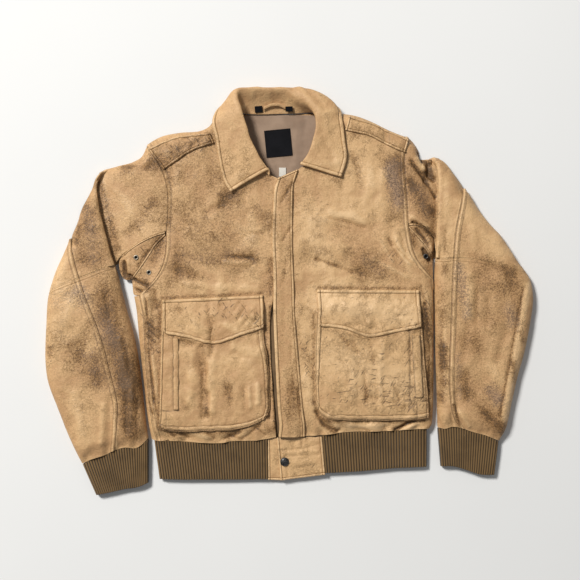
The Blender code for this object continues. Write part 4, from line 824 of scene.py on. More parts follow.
def worked(net, edges, group, thickness=LEATHER, extra=0.0):
    """The net with shaped edges, marks of wear, painted light and shade, and stitch rows noted for sewing."""
    distances = edge_distances(net)
    bump = np.zeros(net.shape[:2]) + extra
    dark = np.zeros(net.shape[:2])
    rub = np.zeros(net.shape[:2])
    for edge in edges:
        share = 1 if edge.share is None else edge.share
        height, line, light = edge_profile(distances[edge.side], edge.kind)
        bump += height * share
        dark = np.maximum(dark, line * share)
        rub = np.maximum(rub, light * share)
    square = normals(net)
    shaped = net + square * bump[..., None]
    shaped[..., 2] = shaped[..., 2].clip(thickness / 2)
    marks = wear(net)
    # darker in the hollows of the extra relief, from dirt and painted shade
    more(marks, "worn", 0.26 * np.clip(-extra - 0.3, 0, 1.6), 1.5)
    more(marks, "rubbed_and_lit", rub + 0.3 * np.clip(extra - 0.3, 0, 1.5))
    marks["seam"] = np.clip(dark, 0, 1)
    both = np.dstack([shaped + square * thickness / 2, square])
    both[..., 2] = both[..., 2].clip(CLEAR_OF_FLOOR)
    for edge in edges:
        for row in STITCH_ROWS[edge.kind]:
            line = at_offset(both, edge.side, row)
            if edge.share is not None:
                flat = np.broadcast_to(edge.share, net.shape[:2])
                kept = flat[:, 0] if edge.side in ("west", "east") else flat[0]
                line = line[kept > 0.5]
            if len(line) > 4:
                SEWN.setdefault(group, []).append(line)
    return shaped, marks


def at_offset(net, side, offset):
    """The line of places that runs beside one edge, so far in from it."""
    turned_net = {
        "west": net,
        "east": net[:, ::-1],
        "south": net.transpose(1, 0, 2),
        "north": net[::-1].transpose(1, 0, 2),
    }[side]
    legs = norm(np.diff(turned_net[..., :3], axis=1), axis=2)
    along = np.hstack([np.zeros((len(legs), 1)), np.cumsum(legs, axis=1)])
    line = [
        [np.interp(offset, lengths, places[:, k]) for k in range(net.shape[2])]
        for places, lengths in zip(turned_net, along)
    ]
    return np.array(line)


# ---- materials ----


class Finish:
    """Builds one node material around its Principled shader."""

    def __init__(self, name):
        self.material = bpy.data.materials.new(name)
        self.material.use_nodes = True
        self.tree = self.material.node_tree
        self.shader = self.tree.nodes["Principled BSDF"]
        self.place = self.add("ShaderNodeTexCoord").outputs["Object"]

    def add(self, kind, inputs=None, **settings):
        node = self.tree.nodes.new(kind)
        for key, value in settings.items():
            setattr(node, key, value)
        for key, value in (inputs or {}).items():
            self.set(node.inputs[key], value)
        return node

    def set(self, socket, value):
        if isinstance(value, bpy.types.NodeSocket):
            self.tree.links.new(value, socket)
        else:
            socket.default_value = value

    def math(self, operation, first, second=0.0):
        return self.add("ShaderNodeMath", {0: first, 1: second}, operation=operation).outputs[0]

    def plus(self, first, second):
        return self.math("ADD", first, second)

    def minus(self, first, second):
        return self.math("SUBTRACT", first, second)

    def times(self, first, second):
        return self.math("MULTIPLY", first, second)

    def most(self, first, second):
        return self.math("MAXIMUM", first, second)

    def noise(self, scale, detail=3.0, roughness=0.55, place=None):
        inputs = {"Vector": place or self.place, "Scale": scale, "Detail": detail, "Roughness": roughness}
        return self.add("ShaderNodeTexNoise", inputs).outputs["Fac"]

    def mark(self, name):
        return self.add("ShaderNodeAttribute", attribute_name=name).outputs["Fac"]

    def ranged(self, value, low, high, start=0.0, end=1.0):
        inputs = {"Value": value, "From Min": low, "From Max": high, "To Min": start, "To Max": end}
        return self.add("ShaderNodeMapRange", inputs, interpolation_type="SMOOTHSTEP").outputs["Result"]

    def mix(self, factor, first, second, blend="MIX"):
        node = self.add("ShaderNodeMix", data_type="RGBA", blend_type=blend)
        for index, value in ((0, factor), (6, first), (7, second)):
            if not isinstance(value, (float, bpy.types.NodeSocket)):
                value = (*value, 1.0)
            self.set(node.inputs[index], value)
        return node.outputs[2]

    def bump(self, height, depth, strength=1.0, onto=None):
        inputs = {"Height": height, "Distance": depth, "Strength": strength}
        if onto is not None:
            inputs["Normal"] = onto
        return self.add("ShaderNodeBump", inputs).outputs["Normal"]

    def stretched(self, scale, place=None):
        inputs = {"Vector": place or self.place, "Scale": scale}
        return self.add("ShaderNodeMapping", inputs).outputs["Vector"]

    def slanted(self, angle, scale):
        """The place turned by an angle, then stretched."""
        inputs = {"Vector": self.place, "Rotation": (0.0, 0.0, angle)}
        return self.stretched(scale, self.add("ShaderNodeMapping", inputs).outputs["Vector"])

    def shade(self, **inputs):
        """Sets the shader's sockets, their names written with underscores."""
        for name, value in inputs.items():
            self.set(self.shader.inputs[name.replace("_", " ")], value)


def make_worn_leather(look):
    """Oiled pale hide: cloudy tan, dark with handling and painted shade, grey where dried,
    pale on its edges from rubbing, and pale with painted light.
    """
    f = Finish("worn_leather")
    cloud = f.noise(11.0, 4.0, 0.6)
    blotch = f.noise(46.0, 4.0, 0.62)
    mottle = f.noise(270.0, 4.0, 0.75)
    speck = f.noise(600.0, 2.0, 0.6)
    worn, greyed, rubbed_and_lit, cracked, scored, seam = (f.mark(name) for name in MARKS)

    def level(*parts):
        """The sum of marks and noises, each noise counted from its middle."""
        total = 0.0
        for value, share in parts:
            middle = 0.0 if value in (worn, greyed, rubbed_and_lit, cracked) else 0.5 * share
            total = f.plus(total, f.minus(f.times(value, share), middle))
        return total

    body = f.ranged(level((cloud, 2.4), (blotch, 1.8), (rubbed_and_lit, 0.9)), -0.42, 0.5)
    tint = f.mix(body, look.mid, look.light)
    # pale where the leather rubs, and where light is painted
    tint = f.mix(f.ranged(level((rubbed_and_lit, 0.9), (mottle, 1.2)), 0.15, 1.0, 0.0, 0.6), tint, look.pale)
    # hide darkened by handling, and the painted shade with it, goes brown, then dark in blotches and specks
    handled_and_shaded = level((worn, 1.0), (blotch, 1.0), (mottle, 1.0), (cloud, 0.9), (speck, 0.5))
    tint = f.mix(f.ranged(handled_and_shaded, -0.05, 0.95, 0.0, 0.92), tint, look.brown)
    dark = f.ranged(level((worn, 1.1), (mottle, 2.2), (blotch, 1.0), (speck, 1.8)), 0.62, 1.6, 0.0, 0.88)
    tint = f.mix(dark, tint, look.dark)
    grey_at = f.ranged(level((greyed, 1.0), (mottle, 1.8), (blotch, 0.8), (speck, 1.4)), 0.1, 1.2, 0.0, 0.8)
    grey_at = f.times(grey_at, f.ranged(greyed, 0.04, 0.35))
    tint = f.mix(grey_at, tint, look.grey)
    pits = f.ranged(level((mottle, 1.0), (speck, 0.8), (worn, 0.15)), 0.1, 0.4, 0.0, 0.34)
    tint = f.mix(pits, tint, look.brown)
    # where the hide is broken, short nicks lie across it; where it is scored, they run aslant
    nicks = 0.0
    rows = (cracked, 0.12, 105.0), (cracked, 1.0, 130.0), (scored, 0.9, 100.0), (scored, 2.3, 125.0)
    for mark, angle, scale in rows:
        vein = f.noise(scale, 2.0, 0.5, f.slanted(-angle, (0.45, 2.6, 1.0)))
        cut = f.ranged(f.minus(vein, f.minus(0.735, f.times(mark, 0.13))), 0.0, 0.03)
        nicks = f.most(nicks, f.times(cut, f.ranged(mark, 0.02, 0.3)))
    tint = f.mix(f.times(nicks, 0.62), tint, look.line)
    # fine creases wander over the hide, more of them where it is worn
    reach = f.ranged(level((blotch, 1.0), (worn, 0.18), (cracked, 0.25), (cloud, 1.0)), 0.02, 0.22)
    wrinkles = 0.0
    for angle, scale in ((0.5, 30.0), (-0.8, 42.0), (1.45, 54.0)):
        vein = f.noise(scale, 3.0, 0.55, f.slanted(angle, (1.0, 1.9, 1.0)))
        line = f.ranged(f.math("ABSOLUTE", f.minus(vein, 0.5)), 0.0, 0.024, 1.0, 0.0)
        wrinkles = f.most(wrinkles, f.times(line, reach))
    tint = f.mix(f.times(wrinkles, 0.22), tint, look.brown)
    # dark lines at seams and stitch rows, with the painted shadow beside each raised band
    line = f.times(seam, f.ranged(mottle, 0.2, 0.6, 0.55, 1.0))
    tint = f.mix(f.times(line, 0.78), tint, look.line)
    roughed = f.plus(0.055, f.times(f.most(worn, greyed), 0.3))
    grain = f.ranged(level((speck, 1.0), (mottle, 0.8)), -0.2, 0.2, 1.0, -1.0)
    grain = f.plus(1.0, f.times(grain, roughed))
    shade = f.add("ShaderNodeCombineColor", {0: grain, 1: grain, 2: grain}).outputs[0]
    tint = f.mix(1.0, tint, shade, "MULTIPLY")
    pores = f.add("ShaderNodeTexVoronoi", {"Vector": f.place, "Scale": 900.0}).outputs["Distance"]
    normal = f.bump(blotch, 0.004, 0.6)
    normal = f.bump(mottle, 0.0013, 0.7, normal)
    normal = f.bump(speck, 0.0005, 0.5, normal)
    normal = f.bump(pores, 0.00022, 0.7, normal)
    broken = f.most(nicks, f.times(wrinkles, 0.8))
    normal = f.bump(f.minus(1.0, broken), 0.0007, 0.9, normal)
    roughness = f.ranged(f.plus(blotch, rubbed_and_lit), 0.3, 1.2, 0.6, 0.42)
    f.shade(Base_Color=tint, Roughness=roughness, Specular_IOR_Level=0.42, Normal=normal)
    return f.material


def make_rib_knit(look):
    """Wool rib: painted shade in its furrows, with a nap of fine loops along each rib."""
    f = Finish("rib_knit")
    furrow = f.mark("furrow")
    loops = f.noise(900.0, 2.0, 0.6, f.stretched((1.0, 2.2, 1.0)))
    haze = f.noise(30.0, 3.0)
    tint = f.mix(f.ranged(furrow, 0.0, 0.38), look.rib, look.furrow)
    tint = f.mix(f.ranged(loops, 0.35, 0.7, 0.0, 0.35), tint, look.nap)
    tint = f.mix(f.ranged(haze, 0.4, 0.7, 0.0, 0.25), tint, look.furrow)
    normal = f.bump(loops, 0.0006, 0.7)
    f.shade(Base_Color=tint, Roughness=0.95, Specular_IOR_Level=0.15, Sheen_Weight=0.2, Normal=normal)
    return f.material


def woven(name, first, second, pitch, roughness, sheen=0.0):
    """A plain weave: two sets of crossing yarns, a little uneven in colour."""
    f = Finish(name)
    waves = []
    for direction in ("X", "Y"):
        inputs = {"Vector": f.place, "Scale": 0.314 / pitch, "Distortion": 0.4}
        waves.append(f.add("ShaderNodeTexWave", inputs, bands_direction=direction).outputs["Fac"])
    cross = f.times(waves[0], waves[1])
    haze = f.noise(24.0, 4.0)
    tint = f.mix(f.ranged(haze, 0.35, 0.7), first, second)
    tint = f.mix(f.ranged(cross, 0.2, 0.9, 0.25, 0.0), tint, second)
    normal = f.bump(cross, 0.00025, 0.7, f.bump(haze, 0.003, 0.5))
    f.shade(Base_Color=tint, Roughness=roughness, Specular_IOR_Level=0.12, Sheen_Weight=sheen, Normal=normal)
    return f.material


def make_dark_metal(name, bright, dull, roughness):
    """Plated brass gone dark, scuffed pale in random patches."""
    f = Finish(name)
    scuff = f.noise(800.0, 3.0)
    f.shade(
        Base_Color=f.mix(f.ranged(scuff, 0.45, 0.62), dull, bright),
        Metallic=0.95,
        Roughness=f.ranged(scuff, 0.3, 0.7, roughness, roughness + 0.2),
        Normal=f.bump(scuff, 0.0001, 0.5),
    )
    return f.material


def make_thread(look):
    f = Finish("waxed_thread")
    twist = f.noise(1400.0, 2.0)
    tint = f.mix(f.ranged(twist, 0.3, 0.7), look.mid, look.thread)
    f.shade(Base_Color=tint, Roughness=0.7, Normal=f.bump(twist, 0.0001, 0.6))
    return f.material


# Two colours, the yarn's pitch in metres, the roughness and the sheen
WEAVES = {
    "lining_cloth": ((0.38, 0.265, 0.185), (0.26, 0.175, 0.118), 0.0006, 0.42, 0.2),
    "label_cloth": ((0.004, 0.004, 0.005), (0.008, 0.008, 0.010), 0.0009, 0.85),
    "tag_cloth": ((0.78, 0.75, 0.68), (0.62, 0.58, 0.5), 0.0006, 0.6),
    "zip_tape": ((0.22, 0.14, 0.075), (0.13, 0.083, 0.045), 0.0008, 0.85),
    # painted shade: a near-black cloth for the discs in the eyelet holes
    "hole_shade": ((0.002, 0.002, 0.002), (0.004, 0.003, 0.003), 0.001, 1.0),
}
# The bright and the dull colour, and the roughness
METALS = {
    "dark_metal": ((0.16, 0.155, 0.15), (0.03, 0.029, 0.028), 0.3),
    "eyelet_metal": ((0.62, 0.56, 0.46), (0.32, 0.27, 0.2), 0.4),
}


def finish(name):
    """The named material, made the first time that it is asked for."""
    if name in bpy.data.materials and bpy.data.materials[name].get("finished"):
        return bpy.data.materials[name]
    if name in bpy.data.materials:
        bpy.data.materials[name].name = name + "_plain"
    scene = bpy.context.scene
    if name in WEAVES:
        made = woven(name, *WEAVES[name])
    elif name in METALS:
        made = make_dark_metal(name, *METALS[name])
    elif name == "rib_knit":
        made = make_rib_knit(scene.jacket_knit)
    elif name == "waxed_thread":
        made = make_thread(scene.jacket_leather)
    else:
        made = make_worn_leather(scene.jacket_leather)
    made.name = name
    made["finished"] = True
    return made


# ---- building a piece ----


def mesh_of(bm, name):
    """A named mesh made from a bmesh, which is freed."""
    mesh = bpy.data.meshes.new(name)
    bm.to_mesh(mesh)
    bm.free()
    return mesh


def placed_object(name, data):
    item = bpy.data.objects.new(name, data)
    bpy.context.scene.collection.objects.link(item)
    return item


def set_down(name, mesh, finish_name, nodes):
    """Puts a finished mesh on the jacket in place of its frame nodes."""
    item = placed_object(name, mesh)
    mesh.materials.append(finish(finish_name))
    mesh.shade_smooth()
    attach(item, "root")
    if nodes:
        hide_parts(*nodes)
    return item


def place_grid(bm, net):
    """Adds a grid with its places on the net, and returns its vertices and their rows and columns."""
    rows, columns = net.shape[:2]
    made = bmesh.ops.create_grid(bm, x_segments=columns - 1, y_segments=rows - 1, size=1)["verts"]
    where = []
    for vertex in made:
        column = round((vertex.co.x + 1) / 2 * (columns - 1))
        row = round((vertex.co.y + 1) / 2 * (rows - 1))
        vertex.co = net[row, column] * MM
        where.append((row, column))
    return made, where


def add_marks(mesh, marks):
    for mark, values in marks.items():
        layer = mesh.attributes.new(mark, "FLOAT", "POINT")
        layer.data.foreach_set("value", np.asarray(values, np.float32))


def thicken(item, thickness):
    wall = item.modifiers.new("wall", "SOLIDIFY")
    wall.thickness = thickness * MM
    wall.offset = 0


def cut_size(net):
    """Width, length and area of the cloth, laid out flat, in metres."""
    width = norm(np.diff(net, axis=1), axis=2).sum(1).max() * MM
    length = norm(np.diff(net, axis=0), axis=2).sum(0).max() * MM
    first = net[1:, 1:] - net[:-1, :-1]
    second = net[1:, :-1] - net[:-1, 1:]
    area = norm(np.cross(first, second), axis=2).sum() / 2 * MM * MM
    return (width, length), area


def cloth(
    name,
    net,
    marks,
    thickness=LEATHER,
    finish_name="worn_leather",
    ring=False,
    declared=True,
):
    """A named wall of cloth over a net of places, closed round if ring; if declared, its cut size is measured
    and not kept.
    """
    bm = bmesh.new()
    _, where = place_grid(bm, net)
    mesh = mesh_of(bm, "worn_" + name)
    rows, columns = np.array(where).T
    add_marks(mesh, {mark: values[rows, columns] for mark, values in marks.items()})
    if ring:
        bm = bmesh.new()
        bm.from_mesh(mesh)
        bmesh.ops.remove_doubles(bm, verts=bm.verts, dist=0.00001)
        bmesh.ops.recalc_face_normals(bm, faces=bm.faces)
        bm.to_mesh(mesh)
        bm.free()
    item = set_down("worn_" + name, mesh, finish_name, (name,))
    thicken(item, thickness)
    if declared:
        flat, area = cut_size(net)
    return item


def floor_sheet(name, stretches, nets=(), net_marks=()):
    """A flat sheet on the floor inside its outline, one piece with the nets that share its edge."""
    bm = bmesh.new()
    outline = [bm.verts.new((x * MM, y * MM, FLOOR_Z * MM)) for x, y in drawn_in(stretches)]
    bm.faces.new(outline)
    bm.normal_update()
    bmesh.ops.triangulate(bm, faces=bm.faces)
    layers = {mark: bm.verts.layers.float.new(mark) for mark in MARKS}
    for net, marks in zip(nets, net_marks):
        made, where = place_grid(bm, net)
        for vertex, (row, column) in zip(made, where):
            for mark, values in marks.items():
                vertex[layers[mark]] = float(values[row, column])
    bmesh.ops.remove_doubles(bm, verts=bm.verts, dist=0.00002)
    bmesh.ops.recalc_face_normals(bm, faces=bm.faces)
    area = sum(face.calc_area() for face in bm.faces)
    item = set_down("worn_" + name, mesh_of(bm, "worn_" + name), "worn_leather", (name,))
    thicken(item, LEATHER)


# ---- the body ----


def fine(name):
    return smooth(CURVES[name], 12)


OUTLINE = (0, 0.03, 0.1, 0.2, 0.3, 0.4, 0.5, 0.6, 0.7, 0.8, 0.9, 0.97, 1)


def back_strip():
    """The back's left side, rolled up over the edge as far as the seam on the face."""
    hem, armpit = back(fine("strip_hem_left")), back(fine("armpit_left"))
    net = spread(fine("side_fold_left"), fine("side_seam_left"), hem, armpit)
    net = lifted(net, body_top(net))
    net[:, 0, 2] = FOLD_Z
    return curled(inset(net, west=0), "west")


def build_back():
    west, marks = worked(back_strip(), (Edge("east", "seam"),), "body")
    fold = placed(fine("side_fold_right"), 100)
    strip = np.stack([fold - (4, 0), fold - (3, 0), fold - (2, 0), fold], axis=1)
    east = curled(lifted(strip, np.full(strip.shape[:2], FOLD_Z - SEAM_GAP - EDGE_DRAW)), "east")[:, 4:]
    west[:, 0, 2] = FLOOR_Z
    east_marks = wear(east)
    east_marks["seam"] = np.zeros(east.shape[:2])
    stretches = (
        (curve("hem_back", OUTLINE), SEAM_GAP),
        (east[:, -1, :2], None),
        (curve("armhole_low_right", OUTLINE), SEAM_GAP),
        (curve("armhole_top_right", OUTLINE), SEAM_GAP),
        (back(curve("shoulder_right", OUTLINE)), SEAM_GAP),
        (back(curve("neck_back", OUTLINE)), SEAM_GAP),
        (curve("shoulder_left", OUTLINE), SEAM_GAP),
        (back(curve("armhole_top_left", OUTLINE)), SEAM_GAP),
        (back(curve("armhole_low_left", OUTLINE)), SEAM_GAP),
        (back(west[:, 0, :2]), None),
    )
    floor_sheet("back", stretches, (west, east), (marks, east_marks))


def front_edges(net, side):
    """A front's sewn edges: a raised band round its armhole, and its side seam below."""
    height = net[:, :1, 1]
    if side == "left":
        low = ease((-6 - height) / 4 + 0.5)
        return (
            Edge("east", "band", 1 - low),
            Edge("east", "double", low),
            Edge("west", "turned"),
            Edge("north", "seam"),
            Edge("south", "turned"),
        )
    return (
        Edge("east", "band", ease((height - 26) / 4 + 0.5)),
        Edge("north", "seam"),
        Edge("south", "turned"),
    )


CENTRE_TURN = 1.2


def build_front(side):
    seam = "side_seam_left" if side == "left" else "side_fold_right"
    outer = chain(fine(seam), fine("armhole_low_" + side), fine("armhole_top_" + side))
    outer = placed(outer, graded(line_length(outer), 2.6))
    inner = level_with(outer, chain(fine("centre_" + side), fine("neck_" + side)))
    hem, shoulder = fine("hem_" + side), fine("shoulder_" + side)
    across = graded((line_length(hem) + line_length(shoulder)) / 2, 2.6)
    net = coons(inner, outer, placed(hem, across), placed(shoulder, across))
    net = lifted(net, body_top(net))
    net[-1, :, 2] = PRESSED_Z
    if side == "left":
        net[:, 0, 2] -= CENTRE_TURN * ease((60 - net[:, 0, 1]) / 60)
    else:
        low = net[:, -1, 1] < CURVES["armhole_low_right"][0][1]
        net[low, -1, 2] = FOLD_Z
    net, marks = worked(inset(net), front_edges(net, side), "body")
    crease = body_creases(net[..., :2])
    # darker in the creases' troughs, from dirt and painted shade; paler on their crests, where the leather
    # rubs
    more(marks, "worn", -0.22 * np.minimum(crease, 0), 1.5)
    more(marks, "rubbed_and_lit", 0.22 * np.maximum(crease, 0))
    cloth("front_" + side, net, marks)


# ---- the sleeves ----

CAP_ROWS = (0, 0.17, 0.34, 0.51, 0.67, 0.8, 0.89, 0.96, 1)
LONG_SEAM = {"left": (0, 0.33, 0.67, 1), "right": (0, 0.2, 0.4, 0.6, 0.8, 1)}
TOP_FOLD = {"left": (0, 0.2, 0.42, 0.62, 0.8, 0.92), "right": (0, 0.35, 0.68, 0.9)}
GUSSET_SHARES = (0, 0.26, 0.52, 0.78, 1)
# The pleat under the ridge, column by column: how far outward of the ridge's line it stands at the
# shoulder, how much further where the pleat is deep, and its height
Pleat = namedtuple("Pleat", "start deeper height")
PLEAT = (
    Pleat(-9.0, 16.0, 11.4), Pleat(-7.5, 19.5, 12.4), Pleat(-6.0, 18.5, 15.4), Pleat(-4.0, 9.0, 16.8),
    Pleat(-2.0, 2.2, 18.6), Pleat(0.0, 0.0, 21.5), Pleat(4.0, 0.0, 24.8),
)
CAP_END = -12.0
TOP_START = 11.0
PLEAT_DEEP_AFTER = 50.0
ARMHOLE_Z = 19.5


def outward(line, side):
    """Unit plan directions away from the body, square to the line."""
    step = np.gradient(line, axis=0)
    square = np.stack([-step[:, 1], step[:, 0]], axis=1)
    square *= np.sign(square[:, :1]) * (-1 if side == "left" else 1)
    return square / norm(square, axis=1)[:, None]


def cap_height(arm_z, share):
    """The cap's height from the armhole (share 0) down to the foot of the pleat (share 1)."""
    return arm_z * (1 - share) + 12 * share + 4 * np.sin(np.pi * share**0.8)


def ridge_rise(heights, from_ridge):
    return RIDGE_Z + (heights - RIDGE_Z) * rise(from_ridge, 18)


def upper_inner_net(side):
    """Cap from the armhole, the pleat under the ridge, then the sleeve's top to the long seam."""
    arm = curve("armhole_top_" + side, CAP_ROWS)
    ridge = curve("ridge_" + side, CAP_ROWS)
    outer = chain(curve("long_seam_top_" + side, LONG_SEAM[side]), curve("top_fold_" + side, TOP_FOLD[side]))
    out = outward(ridge, side)
    deep = ease((1 - length_shares(ridge)) * norm(ridge[0] - ridge[-1]) / PLEAT_DEEP_AFTER)
    near_top = ease((length_shares(ridge) - 0.7) / 0.3)[:, None]
    fold_end = back(FINE["cap_fold_" + side])
    fold_length = line_length(fold_end)

    def beside_ridge(offset, deeper=0.0):
        """The ridge moved outward, its top end led along the folded edge."""
        line = ridge + out * (offset + deeper * deep)[:, None]
        on_fold = placed(fold_end, (max(-offset, 0) / fold_length,))[0]
        return line + near_top * (on_fold - line[-1])

    edge = curve("gusset_edge_" + side, GUSSET_SHARES)
    cap_end = beside_ridge(CAP_END)
    cap_end = joined(cap_end, edge[-1], cap_end[-1])
    fold_shares = np.array((0, 0.25, 0.5, 0.75, 1)) * (1 + CAP_END / fold_length)
    cap = coons(arm, cap_end, edge, curve("cap_fold_" + side, tuple(fold_shares)))
    cap_z = cap_height(body_plain(arm)[:, None], np.array(GUSSET_SHARES)[None])
    width = norm(outer - ridge, axis=1)[:, None]
    top_in = ridge + (outer - ridge) / width * np.minimum(TOP_START, width * 0.3)
    elbow = curve("elbow_inner_" + side, (0.2, 0.4, 0.6, 0.8, 1))
    top_in = joined(top_in, elbow[0], top_in[-1])
    pleat = [beside_ridge(step.start, step.deeper) for step in PLEAT[:-1]]
    pleat.append(ridge + (top_in - ridge) * PLEAT[-1].start / TOP_START)
    pleat = np.stack(pleat, axis=1)
    pleat_z = np.repeat([[step.height for step in PLEAT]], len(ridge), axis=0)
    top = coons(top_in, outer, elbow, straight(top_in[-1], outer[-1], 4))
    top_z = ridge_rise(sleeve_plain(top, side), away(top, "ridge_" + side))
    plan = np.hstack([cap, pleat, top])
    heights = np.hstack([cap_z, pleat_z, top_z])
    inboard = np.s_[:, : cap.shape[1] + len(PLEAT)]
    low = rise(away(plan[inboard], "cap_fold_" + side, "top_fold_" + side), ROLL_REACH)
    heights[inboard] = PRESSED_Z + (heights[inboard] - PRESSED_Z) * low
    heights[-1] = PRESSED_Z
    return lifted(plan, heights)


def build_upper_inner(side):
    net = dense(upper_inner_net(side))
    net = inset(net, south=GUSSET_DRAW)
    plan = net[..., :2]
    ridge = FINE["ridge_" + side]
    short_of_ridge = np.abs(np.interp(plan[..., 1], ridge[:, 1], ridge[:, 0])) - np.abs(plan[..., 0])
    on_top = (net[..., 2] > 17) * ease((away(plan, "armhole_top_" + side) - 30) / 12) * (short_of_ridge < 0)
    valleys = folded(plan, CAP_CREASES) * ease(short_of_ridge / 4)
    valleys = np.maximum(valleys, np.minimum(3.0 - net[..., 2], 0))
    extra = valleys + sleeve_creases(plan) * on_top
    extra = extra + 0.4 * ripple(plan, 20) + 0.2 * ripple(plan, 8)
    edges = (Edge("west", "seam"), Edge("east", "seam"), Edge("south", "turned"))
    net, marks = worked(net, edges, "sleeves", extra=extra)
    # painted shade in the pleat under the ridge and in the cap's valleys
    pleat = bell(net[..., 2] - 15, 4) * ease((12 - away(net[..., :2], "ridge_" + side)) / 8)
    more(marks, "worn", 0.5 * pleat + 0.14 * np.clip(-valleys, 0, 6), 1.5)
    more(marks, "rubbed_and_lit", 0.5 * bell(away(net[..., :2], "ridge_" + side), 2.2))
    cloth("sleeve_top_inner_" + side, net, marks)


GUSSET_DRAW = 0.4


def build_upper_outer(side):
    seam, fold = fine("long_seam_top_" + side), fine("outer_fold_" + side)
    seam, fold = (placed(line, np.linspace(0, 0.97, 60)) for line in (seam, fold))
    net = spread(seam, fold, fine("elbow_outer_" + side), straight(seam[-1], fold[-1], 20))
    net = lifted(net, sleeve_top(net, side))
    net[:, -1, 2] = FOLD_Z
    net = curled(inset(net, east=0, west=0.4, north=1.2), "east")
    net, marks = worked(net, (Edge("west", "band"), Edge("south", "turned")), "sleeves")
    cloth("sleeve_top_outer_" + side, net, marks)


def build_lower_inner(side):
    fold, seam = fine("inner_fold_" + side), fine("long_seam_low_" + side)
    net = spread(fold, seam, fine("cuff_inner_" + side), fine("elbow_inner_" + side))
    net = lifted(net, sleeve_top(net, side))
    net[:, 0, 2] = FOLD_Z
    # the inner end of the elbow seam rises to meet the ridge above it
    near_elbow = ease(1 - away(net[..., :2], "elbow_inner_" + side) / 26)
    to_ridge = ease(1 - (edge_distances(net)["west"]) / 12)
    net[..., 2] += (RIDGE_Z - FOLD_Z) * 0.75 * near_elbow * to_ridge
    net = curled(inset(net, west=0), "west")
    edges = (Edge("east", "seam"), Edge("north", "elbow"), Edge("south", "turned"))
    net, marks = worked(net, edges, "sleeves")
    cloth("sleeve_low_inner_" + side, net, marks)


def build_lower_outer(side):
    seam, fold = fine("long_seam_low_" + side), fine("lower_fold_" + side)
    net = spread(seam, fold, fine("cuff_outer_" + side), fine("elbow_outer_" + side))
    net = lifted(net, sleeve_top(net, side))
    net[:, -1, 2] = FOLD_Z
    net = curled(inset(net, east=0), "east")
    edges = (Edge("west", "band"), Edge("north", "elbow"), Edge("south", "turned"))
    net, marks = worked(net, edges, "sleeves")
    cloth("sleeve_low_outer_" + side, net, marks)


UNDERARM = {
    "left": (("gusset_lip_left", UNDER_INSET), ("gusset_side_left", 12.0)),
    "right": (("gusset_close_right", 2.0),),
}
CUFF_DRAW = 1.6


def build_under_sleeve(side):
    """The two sheets of the under sleeve, which meet at the elbow."""

    def line(name):
        return curve(name + "_" + side, OUTLINE)

    upper = (
        (line("armhole_low"), SEAM_GAP),
        (line("armhole_top"), SEAM_GAP),
        (line("cap_fold"), SEAM_GAP),
        (back(line("top_fold")), UNDER_INSET),
        (back(line("outer_fold")), UNDER_INSET),
        (back(line("elbow_outer")), SEAM_GAP),
        (back(line("elbow_inner")), SEAM_GAP),
        *((curve(name, OUTLINE), gap) for name, gap in UNDERARM[side]),
    )
    floor_sheet("sleeve_under_top_" + side, upper)
    lower = (
        (back(line("lower_fold")), UNDER_INSET),
        (back(line("cuff_outer")), CUFF_DRAW),
        (back(line("cuff_inner")), CUFF_DRAW),
        (line("inner_fold"), UNDER_INSET),
        (line("elbow_inner"), SEAM_GAP),
        (line("elbow_outer"), SEAM_GAP),
    )
    floor_sheet("sleeve_under_low_" + side, lower)


GUSSET_SEAM_Z = 15.5
GUSSET_TIP = 0.9


def gusset_rows(name):
    """Places up a gusset's long edge, level with the cap's columns and stopping short of the tip."""
    shares = np.array([1 - share for share in GUSSET_SHARES[::-1]])
    shares = np.insert(shares, 1, shares[1] / 2)
    places = placed(back(curve(name, GUSSET_SHARES)), shares)
    return shortened(places), shares[:, None]


def shortened(line):
    """The line with its last step cut short, at the narrow tip of a gusset."""
    line[-1] = line[-2] + (line[-1] - line[-2]) * GUSSET_TIP
    return line


def gusset_rise(along, low):
    """Heights that round down to the fold over the first third of the rows."""
    return FOLD_Z + (low - FOLD_Z) * rise(along, 0.3)


def gusset_outer_net(side):
    """The underarm piece between the cap and the gusset's own seam."""
    edge, along = gusset_rows("gusset_edge_" + side)
    seam, _ = gusset_rows("gusset_seam_" + side)
    net = coons(edge, seam, curve("gusset_lip_" + side, 4), straight(edge[-1], seam[-1], 4))
    share = np.linspace(0, 1, net.shape[1])[None]
    edge_z = cap_height(ARMHOLE_Z, 1 - along)
    heights = edge_z * (1 - share) + (GUSSET_SEAM_Z + 3 * along) * share
    return dense(inset(lifted(net, gusset_rise(along, heights)), west=GUSSET_DRAW, south=0), 1.8)


def gusset_inner_net(side):
    seam, along = gusset_rows("gusset_seam_" + side)
    arm = curve("armhole_low_" + side, 5)
    arm[-1] = arm[-2] + (arm[-1] - arm[-2]) * 0.68
    low = curve("gusset_side_" + side, 3)
    if side == "left":
        low = placed(chain(FINE["gusset_side_left"], back(FINE["armpit_left"])), 3)
    net = coons(seam, arm, low, straight(seam[-1], arm[-1], 3))
    share = np.linspace(0, 1, net.shape[1])[None]
    heights = (GUSSET_SEAM_Z + 3 * along) * (1 - share) + body_plain(arm)[:, None] * share
    heights = heights - 1.5 * np.sin(np.pi * share)
    heights = gusset_rise(along, heights) * (1 - share**3) + heights * share**3
    return dense(inset(lifted(net, heights), south=0, east=GUSSET_DRAW), 1.8)


